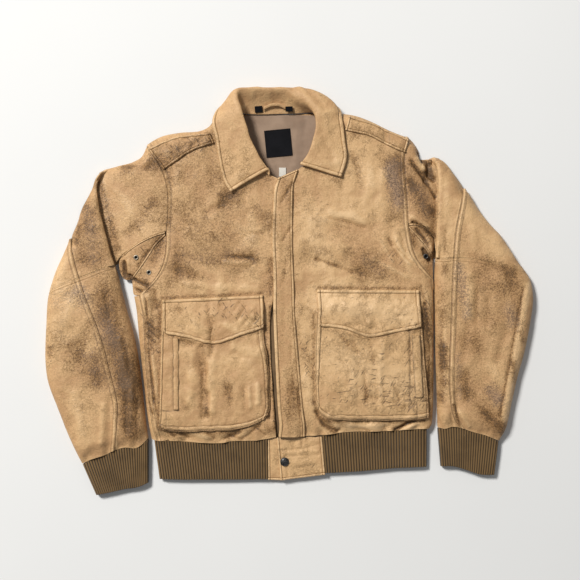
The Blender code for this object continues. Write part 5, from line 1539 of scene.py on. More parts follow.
def build_gussets(side):
    """The two underarm pieces, folded into each other under the arm."""
    for name, net, edges in (
        ("gusset_outer_", gusset_outer_net(side), (Edge("west", "stitched"), Edge("east", "stitched"))),
        ("gusset_inner_", gusset_inner_net(side), (Edge("west", "seam"), Edge("east", "seam"))),
    ):
        depth = np.minimum(edge_distances(net)["west"], edge_distances(net)["east"])
        extra = folded(net[..., :2], GUSSET_CREASES) * ease(depth / 5) * ease((net[..., 2] - 8) / 6)
        extra = extra + 0.7 * ripple(net, 12) * ease(depth / 5)
        net, marks = worked(net, edges, "gussets", extra=extra)
        # a little darker all over, and painted shade in the creases' hollows
        more(marks, "worn", 0.2 + 0.3 * np.clip(-extra, 0, 3), 1.5)
        more(marks, "scored", 0.4)
        cloth(name + side, net, marks)


# ---- the ribbed knit ----

CUFFS = {
    # mouth: the plan line of the knit cuff's free edge, from the inner side outward
    "left": ((-265, -358), (-284, -366), (-310, -370), (-336, -376), (-362, -381)),
    "right": ((286, -327), (309, -327), (334, -334), (358, -342), (386, -343)),
}
CUFF_TOP_Z, CUFF_MOUTH_Z = 13.6, 12.0
CUFF_CLEAR = 1.2
TUCKED = 3.0
PLACES_PER_RIB = 7
CUFF_ROWS = (0, 0.05, 0.1, 0.2, 0.3, 0.4, 0.5, 0.6, 0.7, 0.8, 0.88, 0.94, 0.98, 1)


def rib_wave(turn):
    """0 in each furrow and 1 on each rib, one rib to half a turn."""
    return np.abs(np.sin(turn)) ** 0.8


def ribbed(net, around, pitch, depth, edge_share):
    """Net and marks of a rib knit whose ribs run across the places measured by around, in millimetres."""
    wave = rib_wave(np.pi * around / pitch)
    height = (wave - 0.5) * depth * edge_share
    return net + normals(net) * height[..., None], {"furrow": 1 - wave}


def build_cuff(side, knit):
    """A flattened tube of knit to its open mouth, its upper half tucked under the leather's hem."""
    hem = chain(FINE["cuff_inner_" + side], FINE["cuff_outer_" + side])
    width = line_length(hem)
    pitch = knit.pitch / MM
    ribs = round(2 * width / pitch)
    shares = np.linspace(0, 1, ribs * PLACES_PER_RIB // 2 + 1)
    hem, mouth = placed(hem, shares), placed(smooth(CUFFS[side]), shares)
    toward = mouth - hem
    toward /= norm(toward, axis=1)[:, None]
    edge = np.minimum(shares, 1 - shares) * width
    tuck = (CUFF_CLEAR + TUCKED) * ease((edge - 6) / 12)[:, None]
    rows, marks = [], []
    places = np.concatenate([shares, 1 + (1 - shares[::-1])[1:]])
    wave = rib_wave(np.pi * places * ribs / 2)
    for share in CUFF_ROWS:
        top = CUFF_TOP_Z + (CUFF_MOUTH_Z - CUFF_TOP_Z) * share + 0.8 * math.sin(math.pi * share)
        upper = KNIT_FOLD_Z + (top - KNIT_FOLD_Z) * rise(edge, 8)
        lower = KNIT_FOLD_Z + (KNIT / 2 - KNIT_FOLD_Z) * rise(edge, 7)
        plan = (hem + toward * CUFF_CLEAR) * (1 - share) + mouth * share
        over = plan - toward * tuck * (1 - share)
        depth = knit.depth / MM * (0.35 + 0.65 * ease(share * 8)) * (1 - 0.4 * ease((share - 0.9) * 10))
        half = len(shares)
        upper = upper + (wave[:half] - 0.5) * depth
        lower = lower - (wave[half - 1 :][::-1] - 1.0) * depth * 0.5
        rows.append(chain(np.column_stack([over, upper]), back(np.column_stack([plan, lower]))))
        marks.append(1 - wave)
    marks = {"furrow": np.array(marks)}
    cloth("cuff_" + side, np.array(rows), marks, KNIT - 0.8, "rib_knit", ring=True)


BAND = {
    # inner end, bottom line and outer end of each front stretch of the waistband
    "left": (
        ((-40, -272), (-39, -351)),
        ((-39, -351), (-100, -352), (-160, -352), (-205, -352), (-242, -351)),
        ((-252, -277), (-242, -351)),
    ),
    "right": (
        ((62, -270), (68, -340)), ((68, -340), (105, -338), (139, -336), (194, -331), (259, -328)),
        ((259, -258), (259, -328)),
    ),
}


def band_top(net, side):
    outer = BAND[side][2]
    from_hem = away(net, "hem_left", "strip_hem_left") if side == "left" else away(net, "hem_right")
    crown = KNIT_TOP_Z + (KNIT_MOUTH_Z - KNIT_TOP_Z) * np.clip(from_hem / 72, 0, 1)
    start, step = np.array(outer[0], float), np.array(outer[1], float) - np.array(outer[0], float)
    share = ((net - start) * step).sum(-1) / (step @ step)
    from_fold = norm(net - start - share[..., None] * step, axis=-1)
    return KNIT_FOLD_Z + (crown - KNIT_FOLD_Z) * rise(from_fold, 12)


BAND_ROWS = (0, 0.02, 0.05, 0.1, 0.2, 0.3, 0.4, 0.5, 0.6, 0.7, 0.8, 0.9, 0.95, 0.98, 1)


def band_net(west, east, hem, mouth, pitch):
    count = round(line_length(hem) / pitch) * PLACES_PER_RIB
    shares = np.linspace(0, 1, count + 1)
    west, east = (placed(np.array(line, float), BAND_ROWS) for line in (west, east))
    net = coons(west, east, joined(placed(hem, shares), west[0], east[0]), placed(mouth, shares))
    around = np.cumsum(np.full(net.shape[1], line_length(hem) / count)) - line_length(hem) / count
    return net, np.broadcast_to(around, net.shape[:2])


def build_band(side, knit):
    inner, bottom, outer = BAND[side]
    hem = chain(FINE["hem_left"], FINE["strip_hem_left"]) if side == "left" else FINE["hem_right"]
    hem = hem[np.abs(hem[:, 0]) >= abs(inner[0][0])]
    net, around = band_net(inner, outer, hem, smooth(bottom), knit.pitch / MM)
    net = inset(net, south=-TUCKED, east=0)
    low = edge_distances(net)["north"]
    heights = band_top(net, side) + 0.5 * ripple(net, 22) - 0.5 * bell(low, 2)
    heights[:, -1] = KNIT_FOLD_Z
    share = ease(edge_distances(lifted(net, heights))["south"] / 6) * 0.7 + 0.3
    net, marks = ribbed(lifted(net, heights), around, knit.pitch / MM, knit.depth / MM, share)
    cloth("band_" + side, net, marks, KNIT - 0.8, "rib_knit")


def build_band_back(knit):
    """The waistband's back, on the floor, its ends curled up to the folds at the sides."""
    west, east = BAND["left"][2], BAND["right"][2]
    hem = FINE["hem_back"] - (0, CUFF_CLEAR)
    mouth = smooth(((-242, -351), (-160, -350), (-39, -349), (68, -339), (194, -330), (259, -328)))
    net, around = band_net(west, east, hem, mouth, knit.pitch / MM)
    from_ends = np.minimum(net[..., 0] - net[:, :1, 0], net[:, -1:, 0] - net[..., 0])
    heights = KNIT / 2 + (KNIT_FOLD_Z - KNIT - SEAM_GAP - KNIT / 2) * (1 - rise(from_ends, 10))
    wave = rib_wave(np.pi * around / (knit.pitch / MM))
    net = lifted(inset(net), heights + (wave - 1) * 0.3)
    cloth("band_back", net, {"furrow": 1 - wave}, KNIT - 0.6, "rib_knit")


# ---- the closure ----

TAB_UNDER = ((-39.4, -272.5), (-14, -272.5), (-8, -353), (-38.4, -352))
TAB_OVER = ((-22, -272.5), (61.3, -270.5), (67.4, -342), (-15, -352.5))
SNAP_AT = (-8, -318)
TAB_UNDER_Z, TAB_OVER_Z = 11.4, 14.4


def tab_drop(height):
    return np.clip((-272 - height) / 80, 0, 1) * 2.2


def build_tabs():
    for name, (nw, ne, se, sw), height in (
        ("tab_under", TAB_UNDER, TAB_UNDER_Z),
        ("tab_over", TAB_OVER, TAB_OVER_Z),
    ):
        corners = [straight(*pair, 30) for pair in ((sw, nw), (se, ne), (sw, se), (nw, ne))]
        net = spread(*corners, step=2.2)
        puff = 0.7 * ripple(net, 14) + 0.5 * ripple(net, 7)
        if name == "tab_over":
            puff = puff + CREASE_DEPTHS["tab"] * folded(net, TAB_CREASES)
        net = lifted(net, height - tab_drop(net[..., 1]) + puff * 0.8)
        edges = [*all_round("stitched")[:3], Edge("north", "seam")]
        net, marks = worked(net, edges, "closure", DOUBLE)
        more(marks, "rubbed_and_lit", 0.25)
        cloth(name, net, marks, DOUBLE)


TAB_CREASES = folds(
    (12, -271, 9, -295, 2.0, -0.6), (27, -271, 24, -293, 2.0, -0.6), (19, -272, 17, -291, 2.4, 0.5),
    (36, -271, 41, -285, 2.0, -0.5), (-12, -297, 30, -293, 2.0, -0.55), (30, -293, 58, -285, 2.0, -0.5),
    (-10, -302, 55, -298, 2.2, 0.45), (-8, -308, 56, -305, 2.0, -0.5), (-4, -318, 50, -314, 2.4, 0.35),
    (10, -331, 56, -323, 2.0, -0.4), (-31, -276, -30, -320, 2.0, -0.6), (-24, -276, -24, -318, 2.0, 0.45),
    (4, -282, 14, -300, 3, -0.7), (20, -280, 26, -310, 3, 0.6), (34, -276, 38, -300, 3, -0.6),
    (-18, -300, -14, -330, 3, -0.5), (-4, -328, -1, -344, 2.4, -0.9), (10, -322, 50, -318, 4, 0.5),
)


def turned_piece(name, profile, at, finish_name, nodes, steps=32):
    """A small round piece: its profile of radius and height spun about an upright axis."""
    bm = bmesh.new()
    centre = Vector(at) * MM
    rim = [bm.verts.new(centre + Vector((radius, 0, height)) * MM) for radius, height in profile]
    edges = [bm.edges.new(pair) for pair in zip(rim, rim[1:])]
    if profile[0][0] > 0.01:
        edges.append(bm.edges.new((rim[-1], rim[0])))
    bmesh.ops.spin(
        bm, geom=edges, cent=centre, axis=(0, 0, 1), angle=2 * math.pi, steps=steps, use_merge=True
    )
    bmesh.ops.remove_doubles(bm, verts=bm.verts, dist=0.000005)
    bmesh.ops.recalc_face_normals(bm, faces=bm.faces)
    mesh = mesh_of(bm, name)
    set_down(name, mesh, finish_name, nodes)
    mesh.set_sharp_from_angle(angle=math.radians(50))


SNAP_PROFILE = (
    (0, 0), (7.6, 0), (8.2, 0.3), (8.3, 0.9), (7.9, 1.4), (7.2, 1.5),
    (6.8, 1.3), (6.4, 1.7), (5.2, 2.3), (3.4, 2.7), (1.6, 2.85), (0, 2.9),
)
EYELET_PROFILE = (
    (2.6, -0.4), (2.6, 0.3), (2.9, 0.8), (3.5, 1.1), (4.2, 0.95), (4.7, 0.5), (4.8, 0.1), (4.6, -0.1),
)
EYELETS = (
    ("eyelet_outer_left", (-286, 65), 18.6),
    ("eyelet_inner_left", (-262, 37), 18.3),
    ("eyelet_inner_right", (256, 67), 18.3),
)


def build_metal():
    height = TAB_OVER_Z - float(tab_drop(np.array(SNAP_AT[1]))) + DOUBLE / 2 + SEAM_GAP
    turned_piece("worn_snap", SNAP_PROFILE, (*SNAP_AT, height), "dark_metal", ("snap",), 48)
    for name, place, height in EYELETS:
        at = (*place, height)
        # the right eyelet takes the dark metal as painted shade, as it lies in the shade of the underarm fold
        metal = "dark_metal" if "right" in name else "eyelet_metal"
        turned_piece("worn_" + name, EYELET_PROFILE, at, metal, (name,))
        # a near-black disc in the hole paints the shade inside the eyelet
        hole = ((0, -0.3), (2.7, -0.3), (2.7, 0.3), (0, 0.3))
        turned_piece("hole_" + name, hole, at, "hole_shade", (), 20)


FLAP_LEFT = (
    (-17, -271), (-17, -248), (-21, -202), (-28, -52), (-28, 7), (-29, 47), (-31, 98), (-29, 155),
    (-27, 187), (-20, 212),
)
FLAP_RIGHT = ((29, -271), (29, -248), (24, -202), (11, -52), (9, 7), (6, 88), (6, 165), (8, 200), (16, 228))
FLAP_CREASES = folds(
    (7, 204, -14, 168, 3.4, -0.9), (4, 122, -12, 96, 3.4, -0.8), (-4, 60, -10, 20, 4.0, -0.5),
    (12, -60, 6, -150, 3.6, 0.6), (4, -100, 8, -190, 3.2, -0.7), (16, -180, 22, -250, 3.2, -0.8),
    (-8, -150, -4, -250, 3.6, 0.6), (-16, 150, -18, 60, 3.0, 0.6),
)


def build_storm_flap():
    """The doubled flap over the zip, sewn to the right front and lying on the left one."""
    west, east = smooth(FLAP_LEFT), smooth(FLAP_RIGHT)
    net = spread(west, east, *ends(west, east))
    net = on(body_plain, net, LEATHER / 2 + LAY_GAP + DOUBLE / 2 + 0.6)
    extra = CREASE_DEPTHS["storm_flap"] * folded(net[..., :2], FLAP_CREASES) + 0.4 * ripple(net, 16, (0.6, 3))
    kinds = {"west": "piped", "east": "stitched", "south": "seam", "north": "stitched"}
    edges = [Edge(*pair) for pair in kinds.items()]
    net, marks = worked(net, edges, "closure", DOUBLE, extra)
    inner = raised(edge_distances(net)["west"], 7.5, 60, 2)
    streaks = 0.5 + 0.5 * ripple(net, 8, (0.7, 9))
    # dirt in streaks inward of the piped edge, and painted shade in the creases' hollows
    more(marks, "worn", (0.05 + 0.24 * streaks) * inner + 0.2 * np.clip(-extra, 0, 1), 1.4)
    cloth("storm_flap", net, marks, DOUBLE)


ZIP_OVERLAP, ZIP_DROP = 9.0, 3.8
TOOTH_PITCH, TOOTH_SIZE, TOOTH_LIFT = 3.0, (1.3, 3.0, 0.8), 1.1
ZIP_ROWS = (
    0, 0.035, 0.07, 0.13, 0.19, 0.25, 0.31, 0.37, 0.43, 0.49, 0.55, 0.61, 0.67, 0.73, 0.79, 0.85, 0.94,
)


def build_zip():
    west = curve("centre_left", ZIP_ROWS) - (ZIP_OVERLAP, 0)
    east = curve("centre_right", ZIP_ROWS) + (ZIP_OVERLAP, 0)
    net = coons(west, east, *ends(west, east, 6))
    net = lifted(net, body_plain(net) - ZIP_DROP)
    cloth("zip", net, {}, LINING, "zip_tape")
    middle = net[:, 3]
    line = np.column_stack([middle, np.tile((0.0, 0.0, 1.0), (len(middle), 1))])
    line[:, 2] += TOOTH_LIFT
    repeated("zip_teeth", [line], "dark_metal", TOOTH_PITCH, TOOTH_SIZE)


# ---- the pockets ----

Pocket = namedtuple("Pocket", "west east south north flap_top flap_point flap_ends flap_drop welt")
POCKETS = {
    "left": Pocket(
        west=((-240, -254), (-239, -200), (-237, -120), (-236, -35)),
        east=((-44, -232), (-37, -205), (-42, -123), (-48, -80), (-49, -35)),
        south=((-240, -254), (-225, -257), (-174, -259), (-105, -255), (-64, -246), (-44, -232)),
        north=((-236, -35), (-49, -35)),
        flap_top=((-236, -15), (-49, -6)),
        flap_point=(-142, -96),
        flap_ends=((-233, -75), (-48, -66)),
        flap_drop=7,
        welt=((-209.5, -219), (-210.5, -86)),
    ),
    "right": Pocket(
        west=((53, -210), (50, -170), (50, -110), (52, -35)),
        east=((259, -233), (258, -197), (251, -120), (245, -35)),
        south=((53, -210), (63, -229), (90, -237), (177, -238), (230, -236), (259, -233)),
        north=((52, -35), (245, -35)),
        flap_top=((53, 4), (242, 3)),
        flap_point=(150, -83),
        flap_ends=((56, -61), (245, -64)),
        flap_drop=7,
        welt=((242, -196), (236, -80)),
    ),
}
POCKET_LIFT = LEATHER / 2 + LAY_GAP + 0.3 + LEATHER / 2
POCKET_FULL = 3.4
POCKET_CREASES = {
    "left": folds(
        (-164, -104, -158, -150, 8, -1.3), (-158, -150, -160, -232, 6, -1.6),
        (-146, -130, -142, -220, 8, 1.0), (-178, -120, -184, -200, 8, 0.8),
        (-150, -188, -151, -232, 4, -1.1), (-114, -176, -108, -210, 8, -0.8),
        (-58, -172, -57, -205, 5, 1.1), (-84, -182, -82, -216, 5, -0.8), (-74, -178, -72, -214, 4, 0.8),
        (-100, -104, -60, -112, 10, 0.9), (-196, -205, -188, -216, 4, -0.7),
        (-142, -98, -146, -120, 6, -1.2), (-206, -90, -180, -100, 7, -0.7),
    ),
    "right": folds(
        (118, -92, 128, -110, 5, -1.2), (98, -84, 112, -96, 4, -1.0), (152, -100, 158, -130, 6, -0.7),
        (176, -96, 172, -120, 5, 0.7), (142, -150, 144, -204, 4, -0.9), (170, -140, 172, -220, 4, 0.8),
        (120, -120, 118, -200, 7, 0.7), (90, -124, 102, -132, 3, -0.7), (150, -172, 176, -174, 2.4, -0.7),
        (180, -158, 204, -160, 2.4, -0.6), (146, -196, 170, -198, 2.4, -0.7),
        (172, -206, 200, -203, 2.4, -0.7), (196, -174, 206, -200, 3, -0.8),
        (206, -184, 226, -196, 2.6, -0.7), (212, -214, 240, -208, 3, -0.7), (224, -90, 228, -150, 4, -0.7),
    ),
}
POCKET_FLAP_CREASES = {
    "left": folds(
        (-142, -50, -142, -92, 6, -1.2), (-150, -20, -149, -52, 4, -0.7), (-128, -24, -112, -38, 3, -0.7),
        (-92, -20, -108, -44, 2.6, -0.7), (-80, -28, -96, -54, 2.6, -0.7), (-68, -36, -84, -60, 2.6, -0.7),
        (-58, -44, -72, -66, 2.6, -0.6), (-206, -30, -186, -50, 5, -0.7), (-190, -44, -170, -66, 6, 0.7),
        (-116, -60, -92, -74, 6, 0.8),
    ),
    "right": folds(
        (75, -10, 110, -8, 3, -0.5), (184, -36, 206, -44, 2.6, -0.7), (196, -28, 216, -34, 2.4, -0.6),
        (176, -50, 196, -58, 2.6, -0.6), (90, -30, 140, -36, 12, 0.8), (100, -60, 130, -64, 7, -0.6),
        (215, -50, 232, -56, 5, 0.6),
    ),
}
# A snap's mark under the right flap: the dip round it and the bump itself
SNAP_UNDER_FLAP = folds((149, -54, 149, -56, 10, -1.3), (149, -54, 149, -56, 6.5, 2.4))


def pocket_net(shape, step):
    sides = (smooth(line) for line in (shape.west, shape.east, shape.south))
    return spread(*sides, straight(*shape.north, 40), step=step)


def build_pocket(side):
    shape = POCKETS[side]
    net = pocket_net(shape, 2.3)
    distances = edge_distances(net)
    full = (rise(np.minimum(distances["west"], distances["east"]), 34) * rise(distances["south"], 34)) ** 0.8
    lift = POCKET_LIFT + POCKET_FULL * full * rise(distances["north"] + 4, 60)
    net = on(body_top, net, lift)
    extra = CREASE_DEPTHS["pocket"] * folded(net[..., :2], POCKET_CREASES[side])
    extra = extra + 0.8 * ripple(net, 19) + 0.4 * ripple(net, 8)
    outer, inner = ("west", "east") if side == "left" else ("east", "west")
    edges = (Edge(inner, "border"), Edge("south", "border"), Edge(outer, "stitched"), Edge("north", "turned"))
    net, marks = worked(net, edges, "pockets", LEATHER, extra)
    # the facing beside the opening, and the stitched corner below it
    x, y = net[..., 0], net[..., 1]
    facing, corner = (-215.0, -221.0) if side == "left" else (225.0, -203.0)
    out = (facing - x) if side == "left" else (x - facing)
    groove = bell(out, 1.2) * ease((y - corner) / 3) + bell(y - corner, 1.1) * ease((out + 12) / 3)
    inside_line = bell(out - 13, 1.0) * ease((corner - y) / 3)
    dark = np.clip(groove + inside_line, 0, 1)
    marks["seam"] = np.maximum(marks["seam"], 0.95 * dark)
    net = net - normals(net) * (1.1 * dark)[..., None]
    pocket = cloth("pocket_" + side, net, marks, declared=False)
    build_pocket_flap(side)
    middle = placed(np.array(shape.welt, float), np.linspace(0, 1, 50))
    shifts = np.concatenate([np.linspace(-4.6, -3.4, 3), np.linspace(-2.6, 2.6, 6), np.linspace(3.4, 4.6, 3)])
    wide = 1.0 if side == "left" else 1.6
    net = np.stack([middle + (shift * wide, 0) for shift in shifts], axis=1)
    net = on(body_top, net, POCKET_LIFT + 4.8)
    net, marks = worked(net, (Edge("west", "turned"), Edge("east", "turned")), "pockets")
    puff = 1.0 * (1 - (shifts / 4.6) ** 2)[None] + 0 * net[..., 0]
    net = net + normals(net) * puff[..., None]
    marks["seam"] = np.maximum(marks["seam"], 0.9 * bell(np.abs(shifts) - 4.4, 0.9)[None] + 0 * puff)
    welt = cloth("pocket_welt_" + side, net, marks, declared=False)
    # the cut is measured before the pocket fills and creases
    flat, area = cut_size(on(body_top, pocket_net(shape, 6), POCKET_LIFT))


FLAP_SEWN_LIFT = 2.4
FLAP_OVER_LIFT = 7.2


def build_pocket_flap(side):
    shape = POCKETS[side]
    left, right = np.array(shape.flap_ends, float)
    point = np.array(shape.flap_point, float)
    mid_left = (left + point) / 2 + (0, 4 if side == "right" else 1)
    mid_right = (right + point) / 2 - (0, 1)
    corner_left, corner_right = (left + (0, 3), left + (6, -2)), (right + (-6, -2), right + (0, 3))
    lower = smooth((*corner_left, mid_left, point, mid_right, *corner_right))
    upper = straight(*shape.flap_top, 40)
    net = spread(*ends(lower, upper), lower, upper, step=2.3)
    down = edge_distances(net)["north"]
    net = on(body_top, net, FLAP_SEWN_LIFT + (FLAP_OVER_LIFT - FLAP_SEWN_LIFT) * ease(down / 34))
    creases = POCKET_FLAP_CREASES[side] + (SNAP_UNDER_FLAP if side == "right" else ())
    extra = CREASE_DEPTHS["pocket_flap"] * folded(net[..., :2], creases)
    extra = extra + 0.7 * ripple(net, 17) + 0.35 * ripple(net, 7.5)
    edges = all_round("piped")
    net, marks = worked(net, edges, "pockets", DOUBLE, extra)
    cloth("pocket_flap_" + side, net, marks, DOUBLE)


# ---- the shoulders ----

EPAULETS = {
    # lower and upper long edges, from the armhole to the collar
    "left": (
        ((-233, 230), (-213, 243), (-184, 262), (-160, 272), (-140, 278)),
        ((-262, 266), (-233, 280), (-203, 289), (-172, 292), (-147, 295)),
    ),
    "right": (
        ((216, 261), (200, 267), (174, 280), (148, 293), (106, 302)),
        ((222, 283), (206, 290), (181, 301), (155, 313), (112, 326)),
    ),
}


# The stitched cross that tacks the right epaulet down
RIGHT_TACK = folds((170, 292, 193, 300, 1.6, -0.6), (176, 306, 188, 284, 1.6, -0.6))


def build_epaulet(side):
    lower, upper = (smooth(line) for line in EPAULETS[side])
    net = spread(lower, upper, *ends(lower, upper), step=2.0)
    net = on(body_top, net, LEATHER / 2 + LAY_GAP * 2 + DOUBLE / 2)
    extra = 0.8 * ripple(net, 9) + 0.75 * ripple(net, 5.5)
    if side == "right":
        extra = 0.6 * extra + folded(net[..., :2], RIGHT_TACK)
    edges = all_round("stitched")
    net, marks = worked(net, edges, "shoulders", DOUBLE, extra)
    if side == "right":
        tack = np.maximum(bell(net[..., 0] - 176, 0.9), bell(net[..., 0] - 187, 0.9))
        marks["seam"] = np.maximum(marks["seam"], 0.6 * tack)
    more(marks, "rubbed_and_lit", 0.4 * np.clip(extra, 0, 1))
    cloth("epaulet_" + side, net, marks, DOUBLE)


# ---- the collar and the neck ----

# Each row crosses the collar: its places at the neck, stand, roll, over the fall, on its side, at its edge
COLLAR_SECTIONS = (
    (
        (-37, 218, 25.2), (-36, 222, 27), (-38, 227, 29.2),
        (-60, 216, 29.5), (-84, 202, 28.4), (-108, 187, 27.4),
    ),
    ((-64, 243, 25.2), (-57, 247, 28), (-55, 252, 31.5), (-77, 239, 31.5), (-99, 221, 29), (-119, 204, 27.4)),
    ((-81, 279, 25.2), (-73, 281, 29), (-72, 285, 33), (-92, 273, 32), (-111, 258, 29.2), (-129, 243, 27.4)),
    ((-89, 306, 25), (-82, 308, 29), (-80, 311, 34), (-99, 304, 33), (-118, 296, 30), (-136, 287, 27.4)),
    ((-93, 324, 23.6), (-89, 328, 28), (-88, 335, 34), (-105, 333, 33), (-123, 328, 30), (-142, 319, 26)),
    ((-95, 335, 15), (-93, 344, 24), (-94, 354, 32), (-110, 354, 28.5), (-124, 349, 20), (-133, 342, 10)),
    ((-85, 336.5, 6), (-88, 355, 15), (-94, 370, 27), (-102, 376, 24), (-112, 366, 12), (-114, 352, 3.5)),
    ((-66, 335, 4.6), (-68, 357, 13), (-71, 376, 25), (-72, 380.5, 21), (-74, 379, 8), (-76, 350, 1.4)),
    ((-40, 335, 4.6), (-41, 357, 12.5), (-42, 375, 24), (-42, 380, 20), (-42, 378, 8), (-42, 345, 1.4)),
    ((-10, 336, 4.6), (-10, 358, 12.5), (-10, 375, 24.5), (-7, 381, 21), (-6, 379, 8.5), (-6, 346, 1.4)),
    ((16, 337, 4.8), (14, 349, 12), (14, 362, 27), (30, 377, 25), (40, 378, 12), (40, 352, 2)),
    ((36, 339, 5.6), (33, 343, 15), (36, 347, 30), (55, 362, 29), (70, 365, 20), (76, 353, 6)),
    ((53, 336, 15), (47, 334, 22), (48, 332, 33), (66, 341, 32), (84, 348, 26), (94, 341, 14)),
    ((60, 312, 24.6), (53, 312, 28), (51, 312, 34), (68, 316, 33), (85, 319, 30.5), (99, 320, 26.4)),
    ((57, 284, 25.2), (49, 284, 29), (46, 284, 33), (66, 284, 32), (86, 282, 29.5), (104, 280, 27.4)),
    ((47, 257, 25.2), (39, 256, 28), (36, 256, 31.5), (60, 254, 31.5), (84, 251, 29.2), (107, 248, 27.4)),
    ((31, 239, 26.2), (26, 238, 27.6), (22, 238, 29.4), (48, 230, 29.6), (73, 222, 28.6), (97, 215, 27.4)),
)


COLLAR_CREASES = folds(
    (6, 378, 40, 336, 3.6, -1.0), (18, 384, 56, 338, 5, 0.9), (30, 380, 62, 352, 3.4, -0.8),
    (-60, 380, -92, 340, 6, 0.7), (-104, 262, -96, 246, 3, -0.5), (-112, 300, -100, 286, 3.4, -0.6),
    (60, 296, 82, 250, 5, -0.7), (-84, 346, -100, 352, 6, 0.8), (-122, 260, -116, 232, 9, -0.6),
    (-96, 214, -84, 220, 7, 0.7), (-92, 316, -112, 306, 8, -0.6), (84, 300, 60, 262, 8, -0.7),
    (62, 330, 90, 336, 8, 0.7), (88, 240, 60, 236, 8, 0.6),
)


def build_collar():
    sections = np.array(COLLAR_SECTIONS, float)
    net = smoothly(smoothly(sections, 0, 2.5), 1, 2.5)
    extra = CREASE_DEPTHS["collar"] * folded(net[..., :2], COLLAR_CREASES)
    extra = extra + 0.7 * ripple(net, 22) + 0.3 * ripple(net, 9)
    extra = extra * ease(edge_distances(net)["west"] / 12)
    edges = (Edge("east", "piped"), Edge("south", "piped"), Edge("north", "piped"))
    net, marks = worked(net, edges, "shoulders", COLLAR, extra)
    marks["worn"] = marks["worn"] * 0.35
    marks["greyed"] = marks["greyed"] * 0
    cloth("collar", net, marks, COLLAR)


LINING_CREASES = folds(
    (-90, 320, -60, 230, 7, 0.7), (-72, 322, -48, 236, 6, -0.4), (20, 322, 10, 240, 8, 0.6),
    (34, 318, 30, 262, 5, -0.4), (-50, 250, 0, 212, 8, 0.5), (-40, 240, 10, 236, 5, 0.4),
)


def build_lining(pieces):
    west, east = straight((-120, 190), (-112, 328), 20), straight((92, 190), (80, 328), 20)
    north = smooth(((-112, 328), (-92, 332), (-20, 334), (50, 333), (80, 328)))
    net = spread(west, east, straight((-120, 190), (92, 190), 20), north, step=2.6)
    clear = ease((away(net, "neck_back") - 4) / 10) * (1 - patch_share(net))
    creases = CREASE_DEPTHS["lining"] * folded(net, LINING_CREASES) + 0.7 * ripple(net, 20)
    net = lifted(net, LINING_Z + (creases + 0.35).clip(0) * clear)
    item = cloth("lining_neck", net, {}, LINING, "lining_cloth", declared=False)
    flat, area = cut_size(net)


LABEL_AT, LABEL_SIZE, LABEL_TURN = (-20, 281), (49, 51), 5.5


def patch_share(net):
    """1 under the label and the size tag, falling to 0 beside them."""
    from_label = np.abs(net - LABEL_AT).max(axis=-1) - 27
    from_tag = np.abs(net - (-12, 226)).max(axis=-1) - 10
    return 1 - ease(np.minimum(from_label, from_tag) / 6)


def patch(name, centre, size, turn, height, thickness, finish_name, slope=0.0):
    """A small sewn piece, turned in plan and sloping up the collar's stand, with a hemmed edge."""
    shares_x, shares_y = graded(size[0], 1.5) - 0.5, graded(size[1], 1.5) - 0.5
    x, y = np.meshgrid(shares_x * size[0], shares_y * size[1])
    angle = math.radians(turn)
    plan = np.dstack([
        centre[0] + x * math.cos(angle) - y * math.sin(angle),
        centre[1] + x * math.sin(angle) + y * math.cos(angle),
    ])
    edge = np.minimum(size[0] / 2 - np.abs(x), size[1] / 2 - np.abs(y))
    puff = 0.2 * rise(edge, 2) - 0.2 * bell(edge - 2.4, 0.6) + 0.15 * ripple(plan, 12)
    net = lifted(plan, height + slope * y + puff)
    marks = {"seam": 0.5 * bell(edge - 2.4, 0.6)}
    return cloth(name, net, marks, thickness, finish_name, declared=False)


STAND_SLOPE = 0.4


def build_neck_pieces():
    on_lining = LINING_Z + LINING / 2 + SEAM_GAP + LINING / 2
    label = patch("label", LABEL_AT, LABEL_SIZE, LABEL_TURN, on_lining, LINING, "label_cloth")
    tag = patch("size_tag", (-12, 226), (13, 17), 0, on_lining, 0.7, "tag_cloth")
    hangers = [
        patch("hanger_end_left", (-57, 343.5), (14, 11), 4, 10.6, LINING, "label_cloth", STAND_SLOPE),
        patch("hanger_end_right", (0.5, 343.5), (13, 9), 2, 12.9, LINING, "label_cloth", STAND_SLOPE),
    ]
    line = placed(smooth(((-48, 344), (-38, 349), (-27, 351.5), (-16, 350.5), (-7, 346))), 60)
    heights = 11.7 + STAND_SLOPE * (line[:, 1] - 344)
    shifts = np.linspace(-2.6, 2.6, 7)
    crowns = [0.385 * shift + 0.4 * (1 - (shift / 2.6) ** 2) for shift in shifts]
    columns = [np.column_stack([line + (0, shift), heights + crown]) for shift, crown in zip(shifts, crowns)]
    net = np.stack(columns, axis=1)
    strap = cloth("hanger_strap", net, wear(net), 1.6, declared=False)
    return [label, tag, *hangers, strap]


# ---- the sewing ----


